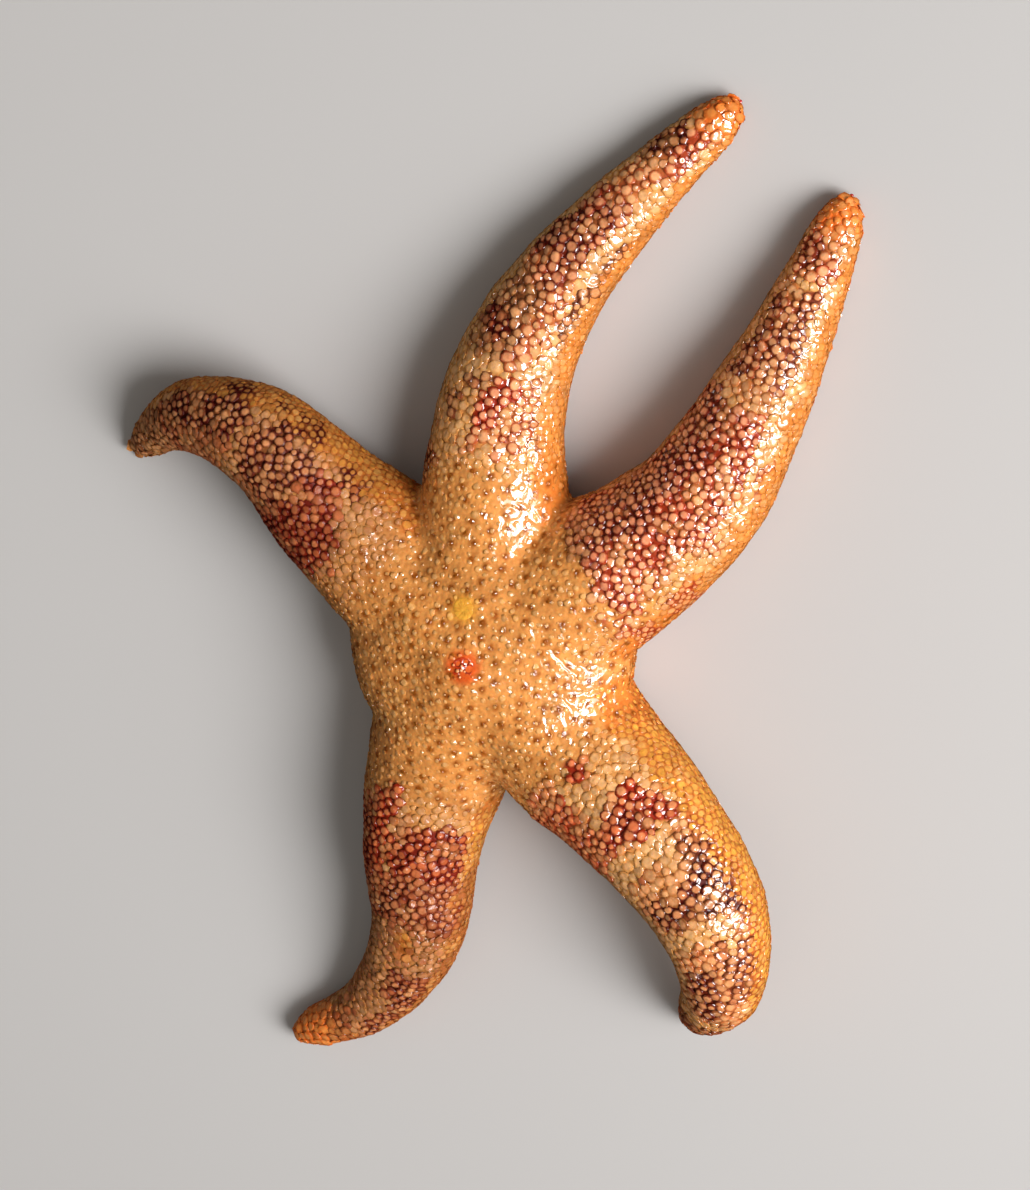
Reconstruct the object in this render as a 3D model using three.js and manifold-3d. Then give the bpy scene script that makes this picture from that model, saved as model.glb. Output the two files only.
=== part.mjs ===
// A blood star (Henricia) with five arms, resting on a flat floor: two arms lie along it, three are arched.
// Millimetres, +Z up, with the middle of the underside of the bounding box at the origin.
import * as THREE from 'three';
import { mergeVertices } from 'three/addons/utils/BufferGeometryUtils.js';
import Module from 'manifold-3d';

const wasm = await Module();
wasm.setup();

// Driving dimensions
const gap = 0.3; // between two pieces that touch in life
const floor = 0;
const discLength = 7.2; // from the centre of the disc to where each arm is parted from it
const tipLength = 1.5; // length of a terminal plate

// Each arm: the line that its underside follows from the centre of the disc [x, y, height over the floor],
// its half width at the root and at the tip, and the power by which it narrows from one to the other.
const arms = {
  arm_a: {
    line: [[0, 0, 0], [0, 5, 0], [0.2, 9, 0], [1.8, 13.1, 0], [5.2, 17.3, 0], [9, 21, 0]],
    root: 3.5,
    tip: 0.85,
    taper: 1.05,
  },
  arm_b: {
    line: [[0, 0, 0], [4.2, 2.9, 0], [7.7, 5.8, 0], [10.1, 10, 0], [11.8, 14, 0], [13.2, 17.8, 0]],
    root: 3.5,
    tip: 0.85,
    taper: 1.3,
  },
  arm_c: {
    line: [[0, 0, 0], [-3.3, 2.3, 0], [-6.3, 5, 0.9], [-8.8, 7.5, 1.8], [-12.1, 8.1, 1.3], [-15.8, 6, -0.3]],
    root: 3.6,
    tip: 0.6,
    taper: 1.4,
  },
  arm_d: {
    line: [[0, 0, 0], [3.5, -3.9, 0], [6.8, -6.4, 1.4], [9.3, -9.3, 2.4], [9.7, -12.6, 1.9], [7.9, -15.7, -0.3]],
    root: 3.5,
    tip: 0.7,
    taper: 2,
  },
  arm_e: {
    line: [[0, 0, 0], [-2.2, -5, 0], [-3, -9, 0.5], [-3.3, -12.7, 0.5], [-5.6, -16.6, 0], [-9.3, -18.9, 0]],
    root: 3.75,
    tip: 0.8,
    taper: 1,
  },
};

// A section of an arm, in shares of its half width or of its height
const section = {
  heightPerHalfWidth: 1.56,
  widestLevel: 0.42, // how far up it is widest
  flatSink: 1.05, // how far the underside would bulge past its flat
  lowerCorner: 2 / 3, // the power that squares the lower half
};
const tipEnd = { roundness: 0.8, least: 0.12 }; // a terminal plate's rounding, and its smallest section
const furrow = { roofHalfWidth: 0.2, openHalfWidth: 0.4, depth: 0.2 }; // under an arm

const dome = { radius: 5.8, height: 5.5 }; // the middle of the disc, which fills the angles between the arms
const madreporite = { x: -0.1, y: 2.2, radius: 0.5, depth: 1 };
const vent = { x: 0, y: 0, radius: 0.5, depth: 1 }; // the anal opening's low red mound
const moundShoulder = 0.6; // how high a mound's upright side is, as a share of its height
const mouth = { radius: 1.5, depth: 1.3, lipHeight: 0.7, openingRadius: 0.5, openingDepth: 0.4 };
const foot = { radius: 0.25, endRadius: 0.2, length: 0.55, sunk: 0.2, rowOffset: 0.3, pitch: 1.25 };
const leastFootedHalfWidth = 1.9; // where an arm is narrower than this its feet are too small to part from it

// How finely the shapes are divided
const armSides = 20;
const stepAlong = 1;
const tipRings = 5;
const domeSides = [30, 16];
const smallSides = 12;
const moundSteps = 4;
const footSides = 6;

for (const arm of Object.values(arms)) {
  arm.curve = new THREE.CatmullRomCurve3(arm.line.map((point) => new THREE.Vector3(...point)));
  arm.length = arm.curve.getLength();
}

// Solids from three.js geometry, and back
function solidOf(geometry) {
  geometry.deleteAttribute('normal');
  geometry.deleteAttribute('uv');
  const closed = mergeVertices(geometry, 1e-4);
  const vertProperties = new Float32Array(closed.attributes.position.array);
  const triVerts = new Uint32Array(closed.index.array);
  return new wasm.Manifold(new wasm.Mesh({ numProp: 3, vertProperties, triVerts }));
}

function geometryOf(solid) {
  const mesh = solid.getMesh();
  const geometry = new THREE.BufferGeometry();
  geometry.setAttribute('position', new THREE.BufferAttribute(new Float32Array(mesh.vertProperties), 3));
  geometry.setIndex(new THREE.BufferAttribute(new Uint32Array(mesh.triVerts), 1));
  geometry.computeVertexNormals();
  return geometry;
}

// A point of a section, across and up: round above its widest level, squarer below, with a flat underside.
function sectionPoint(turn, half, height) {
  const level = section.widestLevel * height;
  const c = Math.cos(turn);
  const s = Math.sin(turn);
  if (s >= 0) return [half * c, level + (height - level) * s];
  const across = half * Math.sign(c) * Math.abs(c) ** section.lowerCorner;
  const up = level * (1 - section.flatSink * Math.abs(s) ** section.lowerCorner);
  return [across, Math.max(up, 0)];
}

// Arms
function halfWidthAt(arm, distance) {
  return arm.root - (arm.root - arm.tip) * (distance / arm.length) ** arm.taper;
}

// The place of a point that lies across and up from an arm's line, some distance along it.
function placeOn(arm, distance, across, up) {
  const share = Math.min(Math.max(distance / arm.length, 0), 1);
  const along = arm.curve.getTangentAt(share);
  const sideways = new THREE.Vector3(along.y, -along.x, 0).normalize();
  const upward = new THREE.Vector3().crossVectors(sideways, along);
  return arm.curve.getPointAt(share).addScaledVector(sideways, across).addScaledVector(upward, up);
}

// A cylinder bent along an arm. shape(distance, turn, out, share) gives each point's place across and up.
function bentAlong(arm, sides, rings, distanceAt, lowest, shape) {
  const geometry = new THREE.CylinderGeometry(1, 1, 1, sides, rings);
  const position = geometry.attributes.position;
  for (let i = 0; i < position.count; i += 1) {
    const share = position.getY(i) + 0.5;
    const out = Math.min(Math.hypot(position.getX(i), position.getZ(i)), 1);
    const turn = Math.atan2(position.getZ(i), position.getX(i));
    const distance = distanceAt(share);
    const [across, up] = shape(distance, turn, out, share);
    const place = placeOn(arm, distance, across, up);
    position.setXYZ(i, place.x, place.y, Math.max(place.z, lowest));
  }
  return solidOf(geometry);
}

// A section of the arm, shrunk towards its middle
function shrunkSection(arm, distance, turn, shrink) {
  const half = halfWidthAt(arm, distance);
  const height = half * section.heightPerHalfWidth;
  const middle = height * section.widestLevel;
  const [across, up] = sectionPoint(turn, half, height);
  return [across * shrink, middle + (up - middle) * shrink];
}

function armLength(arm, from, to) {
  const rings = Math.round((to - from) / stepAlong);
  const distanceAt = (share) => from + (to - from) * share;
  const shape = (distance, turn, out) => shrunkSection(arm, distance, turn, out);
  return bentAlong(arm, armSides, rings, distanceAt, floor, shape);
}

function armTip(arm) {
  const distanceAt = (share) => arm.length - tipLength * (1 - Math.sin((share * Math.PI) / 2));
  const shape = (distance, turn, out, share) => {
    const rounding = Math.abs(Math.cos((share * Math.PI) / 2)) ** tipEnd.roundness;
    return shrunkSection(arm, distance, turn, out * Math.max(rounding, tipEnd.least));
  };
  return bentAlong(arm, armSides, tipRings, distanceAt, floor, shape);
}

// The furrow under an arm: a trough with sloping walls, open below
function furrowUnder(arm, from, to) {
  const rings = Math.round((to - from) / (2 * stepAlong));
  const distanceAt = (share) => from + (to - from) * share;
  const shape = (distance, turn, out) => {
    const half = halfWidthAt(arm, distance);
    const corner = turn + Math.PI / 4;
    const atRoof = Math.sin(corner) > 0;
    const wide = half * (atRoof ? furrow.roofHalfWidth : furrow.openHalfWidth);
    const deep = half * section.heightPerHalfWidth * furrow.depth;
    return [Math.sign(Math.cos(corner)) * wide * out, (atRoof ? deep : -deep) * out];
  };
  return bentAlong(arm, 4, rings, distanceAt, -Infinity, shape);
}

// One tube foot, hanging from the roof of the furrow
function tubeFoot(arm, distance, side) {
  const roof = halfWidthAt(arm, distance) * section.heightPerHalfWidth * furrow.depth;
  const whole = foot.length + foot.sunk;
  const geometry = new THREE.CylinderGeometry(foot.radius, foot.endRadius, whole, footSides);
  geometry.rotateX(Math.PI / 2);
  const place = placeOn(arm, distance, side * foot.rowOffset, roof + foot.sunk - whole / 2);
  geometry.translate(place.x, place.y, place.z);
  return solidOf(geometry);
}

function tubeFeet(arm, from, to) {
  const feet = [];
  let side = 1;
  for (let distance = from + foot.pitch; distance < to; distance += foot.pitch / 2) {
    if (halfWidthAt(arm, distance) > leastFootedHalfWidth) feet.push(tubeFoot(arm, distance, side));
    side = -side;
  }
  return feet;
}

function parted(arm) {
  const end = arm.length - tipLength - gap;
  let solid = armLength(arm, discLength, end).subtract(furrowUnder(arm, discLength - gap, end + gap));
  for (const one of tubeFeet(arm, discLength, end)) solid = solid.add(one);
  return solid;
}

// Disc
function domeSolid() {
  const geometry = new THREE.SphereGeometry(1, ...domeSides);
  geometry.rotateX(Math.PI / 2);
  const position = geometry.attributes.position;
  for (let i = 0; i < position.count; i += 1) {
    const heading = Math.atan2(position.getY(i), position.getX(i));
    const rise = Math.asin(Math.min(Math.max(position.getZ(i), -1), 1));
    const [out, up] = sectionPoint(rise, dome.radius, dome.height);
    position.setXYZ(i, out * Math.cos(heading), out * Math.sin(heading), up);
  }
  return solidOf(geometry);
}

function uprightCylinder(radius, height, x, y, bottom) {
  const geometry = new THREE.CylinderGeometry(radius, radius, height, smallSides);
  geometry.rotateX(Math.PI / 2);
  geometry.translate(x, y, bottom + height / 2);
  return solidOf(geometry);
}

// The pocket in the top of the disc that a small plate is let into
function pocketFor(plate) {
  return uprightCylinder(plate.radius + gap, dome.height, plate.x, plate.y, dome.height - plate.depth);
}

function discSolid() {
  let disc = domeSolid();
  for (const arm of Object.values(arms)) disc = disc.add(armLength(arm, 0, discLength - gap));
  for (const arm of Object.values(arms)) disc = disc.subtract(furrowUnder(arm, 0, discLength));
  const mouthPit = uprightCylinder(mouth.radius, 2 * mouth.depth, 0, 0, -mouth.depth);
  return disc.subtract(mouthPit).subtract(pocketFor(madreporite)).subtract(pocketFor(vent));
}

// A low round mound with a flat foot
function mound(radius, height, x, y, bottom) {
  const profile = [new THREE.Vector2(0, 0), new THREE.Vector2(radius, 0)];
  for (let i = 0; i < moundSteps; i += 1) {
    const rise = (i / moundSteps) * (Math.PI / 2);
    const up = height * (moundShoulder + (1 - moundShoulder) * Math.sin(rise));
    profile.push(new THREE.Vector2(radius * Math.cos(rise), up));
  }
  profile.push(new THREE.Vector2(0, height));
  const geometry = new THREE.LatheGeometry(profile, smallSides);
  geometry.rotateX(Math.PI / 2);
  geometry.translate(x, y, bottom);
  return solidOf(geometry);
}

function plateSolid(plate) {
  return mound(plate.radius, plate.depth - gap, plate.x, plate.y, dome.height - plate.depth + gap);
}

// The membrane round the mouth, with a five-sided opening
function mouthLip() {
  const bottom = mouth.depth - gap - mouth.lipHeight;
  const opening = new THREE.ConeGeometry(mouth.openingRadius, 2 * mouth.openingDepth, 5);
  opening.rotateX(Math.PI / 2);
  opening.translate(0, 0, bottom);
  return mound(mouth.radius - gap, mouth.lipHeight, 0, 0, bottom).subtract(solidOf(opening));
}

// Materials
function finish(colour) {
  return new THREE.MeshStandardMaterial({ color: colour, roughness: 0.4, metalness: 0 });
}

const starfish = new THREE.Group();

function addPiece(name, solid, colour) {
  const mesh = new THREE.Mesh(geometryOf(solid), finish(colour));
  mesh.name = name;
  starfish.add(mesh);
}

addPiece('disc', discSolid(), '#cf9a62');
for (const [name, arm] of Object.entries(arms)) {
  addPiece(name, parted(arm), '#b8643f');
  addPiece(name.replace('arm', 'tip'), armTip(arm), '#e2712e');
}
addPiece('madreporite', plateSolid(madreporite), '#d99a2b');
addPiece('vent', plateSolid(vent), '#d2411c');
addPiece('mouth', mouthLip(), '#c9a27c');

const box = new THREE.Box3().setFromObject(starfish);
starfish.position.set(-(box.min.x + box.max.x) / 2, -(box.min.y + box.max.y) / 2, -box.min.z);

export default starfish;
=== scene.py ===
# A five-armed blood star, wet from the tide: one skin under a coat of small beads, resting on a pale floor.
import math
import random

import bmesh
import bpy
import numpy as np
from mathutils import Matrix, Vector, kdtree, noise
from mathutils.bvhtree import BVHTree


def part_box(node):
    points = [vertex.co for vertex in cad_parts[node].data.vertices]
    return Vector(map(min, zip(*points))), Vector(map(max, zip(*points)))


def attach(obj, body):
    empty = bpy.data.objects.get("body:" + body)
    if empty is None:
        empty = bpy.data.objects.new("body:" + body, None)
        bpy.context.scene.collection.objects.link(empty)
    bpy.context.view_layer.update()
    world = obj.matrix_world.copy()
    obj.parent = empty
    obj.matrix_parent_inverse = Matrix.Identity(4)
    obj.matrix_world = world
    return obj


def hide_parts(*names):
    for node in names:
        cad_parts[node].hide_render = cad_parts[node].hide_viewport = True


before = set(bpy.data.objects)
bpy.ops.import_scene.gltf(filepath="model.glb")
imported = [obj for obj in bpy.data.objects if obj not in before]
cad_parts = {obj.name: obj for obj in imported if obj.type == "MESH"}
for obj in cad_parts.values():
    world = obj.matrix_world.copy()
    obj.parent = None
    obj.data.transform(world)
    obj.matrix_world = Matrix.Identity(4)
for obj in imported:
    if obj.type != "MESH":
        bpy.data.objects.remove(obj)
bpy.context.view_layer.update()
bpy.ops.object.select_all(action="DESELECT")
random.seed(11)
noise.seed_set(4)

mm = 0.001  # shapes are worked out in millimetres from the middle of the disc, and written in metres

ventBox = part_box("vent")
discCentre = np.array([(ventBox[0].x + ventBox[1].x) / 2, (ventBox[0].y + ventBox[1].y) / 2, 0]) / mm

# Each arm: the line its underside follows (across, along and up from the disc's middle), its half width at
# root and tip, and the power by which it narrows.
arms = {
    "arm_a": {
        "line": [(0, 0, 0), (0, 5, 0), (0.2, 9, 0), (1.8, 13.1, 0), (5.2, 17.3, 0), (9, 21, 0)],
        "root": 3.5,
        "tip": 0.85,
        "taper": 1.05,
    },
    "arm_b": {
        "line": [(0, 0, 0), (4.2, 2.9, 0), (7.7, 5.8, 0), (10.1, 10, 0), (11.8, 14, 0), (13.2, 17.8, 0)],
        "root": 3.5,
        "tip": 0.85,
        "taper": 1.3,
    },
    "arm_c": {
        "line": [(0, 0, 0), (-3.3, 2.3, 0), (-6.3, 5, 0.9), (-8.8, 7.5, 1.8), (-12.1, 8.1, 1.3),
                 (-15.8, 6, -0.3)],
        "root": 3.6,
        "tip": 0.6,
        "taper": 1.4,
    },
    "arm_d": {
        "line": [(0, 0, 0), (3.5, -3.9, 0), (6.8, -6.4, 1.4), (9.3, -9.3, 2.4), (9.7, -12.6, 1.9),
                 (7.9, -15.7, -0.3)],
        "root": 3.5,
        "tip": 0.7,
        "taper": 2,
    },
    "arm_e": {
        "line": [(0, 0, 0), (-2.2, -5, 0), (-3, -9, 0.5), (-3.3, -12.7, 0.5), (-5.6, -16.6, 0),
                 (-9.3, -18.9, 0)],
        "root": 3.75,
        "tip": 0.8,
        "taper": 1,
    },
}

# A section of an arm, in shares of its half width or height
section = {
    "heightPerHalfWidth": 1.56,
    "widestLevel": 0.42,
    "flatSink": 1.05,  # how far the underside would bulge past its flat
    "lowerCorner": 2 / 3,  # the power that squares the lower half
}

# The body's skin
skin = {
    "coatDepth": 0.115,  # how far it lies inside the outline on the arms
    "discDepth": 0.06,  # and on the disc
    "discBlend": (5.8, 8.0),  # along an arm, from the disc's coat to the arm's own
    "poresEnd": (6.3, 8.7),  # along an arm, where the pores and the disc's smooth look end
    "underDepth": 0.09,  # and above the floor
    "dome": (5.8, 5.5),  # radius and height of the middle of the disc
    "domeSides": (96, 48),
    "tipLength": 1.5,
    "tipRoundness": 0.4,
    "tipEnd": 0.02,  # the share of its width that is left at the very end
    "lineSteps": 241,
    "sides": 48,
    "rings": 90,
    "voxel": 0.15,
    "smoothing": (10, 2),  # rounds before and after the furrows are carved
    "furrow": (0.2, 0.4, 0.2),  # roof and opening in half widths, depth as a share of the height
    "furrowEnd": (3, 1.2),  # before the arm's end, where it runs out
    "furrowTop": 0.6,  # of the widest level, below which it is carved
    "mouthPit": (1.6, 1.3),  # radius and depth
    "mouthWall": (0.8, 1.15),  # in shares of that radius
    "mouthTop": 1,  # what lies lower than this is lifted
    "lumps": (0.07, 1.6),  # height and size of the soft unevenness
    "lumpsFrom": (0.3, 1.5),  # above the floor, where it begins, and where it is full
}


# Arm lines and where a point lies on them

def smoothLine(points, perStretch=80):
    # a centripetal curve through the points, its ends carried on by reflection
    points = np.array(points, float)
    held = np.vstack([2 * points[0] - points[1], points, 2 * points[-1] - points[-2]])
    t = np.linspace(0, 1, perStretch, endpoint=False)[:, None]
    stretches = []
    for p0, p1, p2, p3 in zip(held, held[1:], held[2:], held[3:]):
        k0, k1, k2 = (np.linalg.norm(b - a) ** 0.5 for a, b in ((p0, p1), (p1, p2), (p2, p3)))
        leave = ((p1 - p0) / k0 - (p2 - p0) / (k0 + k1) + (p2 - p1) / k1) * k1
        reach = ((p2 - p1) / k1 - (p3 - p1) / (k1 + k2) + (p3 - p2) / k2) * k1
        start = (2 * t**3 - 3 * t**2 + 1) * p1 + (t**3 - 2 * t**2 + t) * leave
        stretches.append(start + (3 * t**2 - 2 * t**3) * p2 + (t**3 - t**2) * reach)
    return np.vstack([*stretches, points[-1:]])


def unit(rows):
    return rows / np.linalg.norm(rows, axis=1)[:, None]


def lengthsAlong(line):
    return np.concatenate([[0], np.cumsum(np.linalg.norm(np.diff(line, axis=0), axis=1))])


for arm in arms.values():
    line = smoothLine(arm["line"])
    gone = lengthsAlong(line)
    arm["length"] = gone[-1]
    arm["steps"] = np.linspace(0, gone[-1], skin["lineSteps"])
    arm["path"] = np.column_stack([np.interp(arm["steps"], gone, line[:, axis]) for axis in range(3)])
    arm["along"] = unit(np.gradient(arm["path"], axis=0))
    arm["sideways"] = unit(np.column_stack([arm["along"][:, 1], -arm["along"][:, 0], 0 * arm["steps"]]))
    arm["upward"] = np.cross(arm["sideways"], arm["along"])


def smoothStep(low, high, value):
    t = np.clip((value - low) / (high - low), 0, 1)
    return t * t * (3 - 2 * t)


def mixed(first, second, share):
    return first * (1 - share) + second * share


def halfWidthAt(arm, distance):
    share = np.clip(distance / arm["length"], 0, 1)
    return arm["root"] - (arm["root"] - arm["tip"]) * share ** arm["taper"]


def tipRounding(arm, distance):
    past = np.clip((distance - arm["length"]) / skin["tipLength"] + 1, 0, 1)
    return np.maximum((1 - past**2) ** skin["tipRoundness"], skin["tipEnd"])


def between(arm, rows, distance):
    place = np.clip(distance / arm["length"], 0, 1) * (len(arm["steps"]) - 1)
    low = np.minimum(place.astype(int), len(arm["steps"]) - 2)
    return mixed(arm[rows][low], arm[rows][low + 1], (place - low)[:, None])


def sectionPoint(turn, half, height):
    level = section["widestLevel"] * height
    c = np.cos(turn)
    s = np.sin(turn)
    squared = np.sign(c) * np.abs(c) ** section["lowerCorner"]
    hollowShade = level * (1 - section["flatSink"] * np.abs(s) ** section["lowerCorner"])
    across = half * np.where(s < 0, squared, c)
    up = np.where(s < 0, np.maximum(hollowShade, 0), level + (height - level) * s)
    return across, up


def skinPoint(arm, distance, turn):
    # a point of the skin, which lies inside the outline by the depth of the coat
    half = halfWidthAt(arm, distance)
    depth = mixed(skin["discDepth"], skin["coatDepth"], smoothStep(*skin["discBlend"], distance))
    height = half * section["heightPerHalfWidth"]
    middle = height * section["widestLevel"]
    across, up = sectionPoint(turn, half, height)
    shrink = tipRounding(arm, distance)
    across = across * shrink * (1 - depth / half)
    up = middle + (up - middle) * shrink * (1 - depth / (height - middle))
    place = between(arm, "path", distance)
    place = place + between(arm, "sideways", distance) * across[:, None]
    place = place + between(arm, "upward", distance) * up[:, None]
    place[:, 2] = np.maximum(place[:, 2], skin["underDepth"])
    return place


def offLine(arm, points):
    # the step of the arm's line nearest to each point, and how far along, across and up the point is from it
    nearest = ((points[:, None, :] - arm["path"][None]) ** 2).sum(2).argmin(1)
    off = points - arm["path"][nearest]
    return nearest, *((off * arm[way][nearest]).sum(1) for way in ("along", "sideways", "upward"))


def placesOnArms(points):
    # for each point: the arm it belongs to, how far along, how far across and up from the arm's line,
    # and the turn round the section in degrees: 0 sideways, 90 on top, 180 on the other side
    found = {"reach": np.full(len(points), 1e9)}
    for key in ("arm", "distance", "share", "across", "up", "turn", "half"):
        found[key] = np.zeros(len(points))
    for index, arm in enumerate(arms.values()):
        nearest, slide, across, up = offLine(arm, points)
        step = arm["length"] / (len(arm["steps"]) - 1)
        distance = np.clip(arm["steps"][nearest] + np.clip(slide, -step, step), 0, arm["length"])
        half = halfWidthAt(arm, distance)
        level = half * section["heightPerHalfWidth"] * section["widestLevel"]
        beyond = np.abs(slide) * (np.abs(slide) > step)
        reach = np.sqrt(across**2 + (up - level) ** 2 + beyond**2) / half
        turn = (np.degrees(np.arctan2(up - level, across)) + 90) % 360 - 90
        closer = reach < found["reach"]
        values = {"reach": reach, "arm": index, "distance": distance, "share": distance / arm["length"],
                  "across": across, "up": up, "turn": turn, "half": half}
        for key, value in values.items():
            found[key] = np.where(closer, value, found[key])
    return found


def vertexRows(piece, field="co"):
    flat = np.empty(len(piece.data.vertices) * 3)
    piece.data.vertices.foreach_get(field, flat)
    return flat.reshape(-1, 3)


def readPoints(piece):
    return vertexRows(piece) / mm - discCentre


def writePoints(piece, points):
    piece.data.vertices.foreach_set("co", ((points + discCentre) * mm).ravel())
    piece.data.update()


def cutRings(piece, count):
    # cuts a standing cylinder into rings
    bpy.ops.object.mode_set(mode="EDIT")
    bpy.context.tool_settings.mesh_select_mode = (False, True, False)
    bpy.ops.mesh.select_all(action="DESELECT")
    edit = bmesh.from_edit_mesh(piece.data)
    for edge in edit.edges:
        edge.select_set(abs(edge.verts[0].co.z - edge.verts[1].co.z) > 0.5)
    bmesh.update_edit_mesh(piece.data)
    bpy.ops.mesh.subdivide(number_cuts=count)
    bpy.ops.object.mode_set(mode="OBJECT")


def halfBall(name, sides, rings, foot=0, upper=True):
    # a ball cut off level, with its upper or its lower part left
    bpy.ops.mesh.primitive_uv_sphere_add(segments=sides, ring_count=rings, radius=1)
    made = bpy.context.object
    made.name = name
    bpy.ops.object.mode_set(mode="EDIT")
    bpy.ops.mesh.select_all(action="SELECT")
    bpy.ops.mesh.bisect(plane_co=(0, 0, foot), plane_no=(0, 0, 1), use_fill=True,
                        clear_inner=upper, clear_outer=not upper)
    bpy.ops.object.mode_set(mode="OBJECT")
    return made


def spreadOut(half, upward=1):
    # for each point of half a ball: its way from the middle to the rim in even rings, and its heading
    points = vertexRows(half)
    spread = np.degrees(np.arccos(np.clip(upward * points[:, 2], -1, 1))) / 90
    return spread, np.arctan2(points[:, 1], points[:, 0])


def knob(middle, radius, sides, stretch):
    # a small rounded knob, with its place in its mesh
    around, rings = sides
    bpy.ops.object.select_all(action="DESELECT")
    bpy.ops.mesh.primitive_uv_sphere_add(segments=around, ring_count=rings, radius=radius * mm,
                                         location=(middle + discCentre) * mm)
    bpy.ops.transform.resize(value=stretch)
    bpy.ops.object.transform_apply(location=True, rotation=True, scale=True)
    bpy.ops.object.shade_smooth()
    return bpy.context.object


def joined(pieces):
    bpy.ops.object.select_all(action="DESELECT")
    for piece in pieces:
        piece.select_set(True)
    bpy.context.view_layer.objects.active = pieces[0]
    bpy.ops.object.join()
    return pieces[0]


def shape(piece, modifier, **settings):
    # adds a modifier and applies it
    bpy.ops.object.select_all(action="DESELECT")
    bpy.context.view_layer.objects.active = piece
    piece.select_set(True)
    made = piece.modifiers.new("shape", modifier)
    for key, value in settings.items():
        setattr(made, key, value)
    bpy.ops.object.modifier_apply(modifier=made.name)


def noiseAt(points, size, shift=0):
    return np.array([noise.noise(Vector(p / size + shift)) for p in points])


# Skin

def armCore(name, arm):
    bpy.ops.mesh.primitive_cylinder_add(vertices=skin["sides"], radius=1, depth=1)
    core = bpy.context.object
    core.name = name
    cutRings(core, skin["rings"])
    raw = vertexRows(core)
    distance = arm["length"] * np.sin((raw[:, 2] + 0.5) * math.pi / 2)  # closer rings towards the tip
    writePoints(core, skinPoint(arm, distance, np.arctan2(raw[:, 1], raw[:, 0])))
    return core


def discCore():
    sides, rings = skin["domeSides"]
    bpy.ops.mesh.primitive_uv_sphere_add(segments=sides, ring_count=rings, radius=1)
    core = bpy.context.object
    raw = vertexRows(core)
    heading = np.arctan2(raw[:, 1], raw[:, 0])
    radius, height = (size - skin["discDepth"] for size in skin["dome"])
    out, up = sectionPoint(np.arcsin(np.clip(raw[:, 2], -1, 1)), radius, height)
    up = np.maximum(up, skin["underDepth"])
    writePoints(core, np.column_stack([out * np.cos(heading), out * np.sin(heading), up]))
    return core


def carve(points):
    # the furrows under the arms, and the pit round the mouth
    roof, opening, depth = skin["furrow"]
    endFrom, endTo = skin["furrowEnd"]
    rise = np.zeros(len(points))
    for arm in arms.values():
        nearest, slide, across, up = offLine(arm, points)
        half = halfWidthAt(arm, arm["steps"][nearest])
        height = half * section["heightPerHalfWidth"]
        across = np.hypot(across, np.where(nearest == 0, slide, 0))
        ending = 1 - smoothStep(arm["length"] - endFrom, arm["length"] - endTo, arm["steps"][nearest])
        wall = 1 - smoothStep(roof * half, opening * half, across)
        under = up < section["widestLevel"] * height * skin["furrowTop"]
        rise = np.maximum(rise, depth * height * wall * under * ending)
    radius, depth = skin["mouthPit"]
    inner, outer = skin["mouthWall"]
    wall = 1 - smoothStep(radius * inner, radius * outer, np.hypot(points[:, 0], points[:, 1]))
    rise = np.maximum(rise, depth * wall * (points[:, 2] < skin["mouthTop"]))
    points[:, 2] += rise
    return points


def lumpy(points, normals):
    height, size = skin["lumps"]
    swell = noiseAt(points, size) * height * smoothStep(*skin["lumpsFrom"], points[:, 2])
    return points + normals * swell[:, None]


def makeSkin():
    body = joined([armCore(name + "_core", arm) for name, arm in arms.items()] + [discCore()])
    body.name = "skin"
    body.data.name = "skin"
    before, after = skin["smoothing"]
    shape(body, "REMESH", mode="VOXEL", voxel_size=skin["voxel"] * mm, adaptivity=0)
    shape(body, "SMOOTH", factor=0.5, iterations=before)
    points = lumpy(readPoints(body), vertexRows(body, "normal"))
    points[:, 2] = np.maximum(points[:, 2], skin["underDepth"])
    writePoints(body, carve(points))
    shape(body, "SMOOTH", factor=0.5, iterations=after)
    bpy.ops.object.shade_smooth()
    return body


body = makeSkin()
print("skin:", len(body.data.polygons), "faces")


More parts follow.
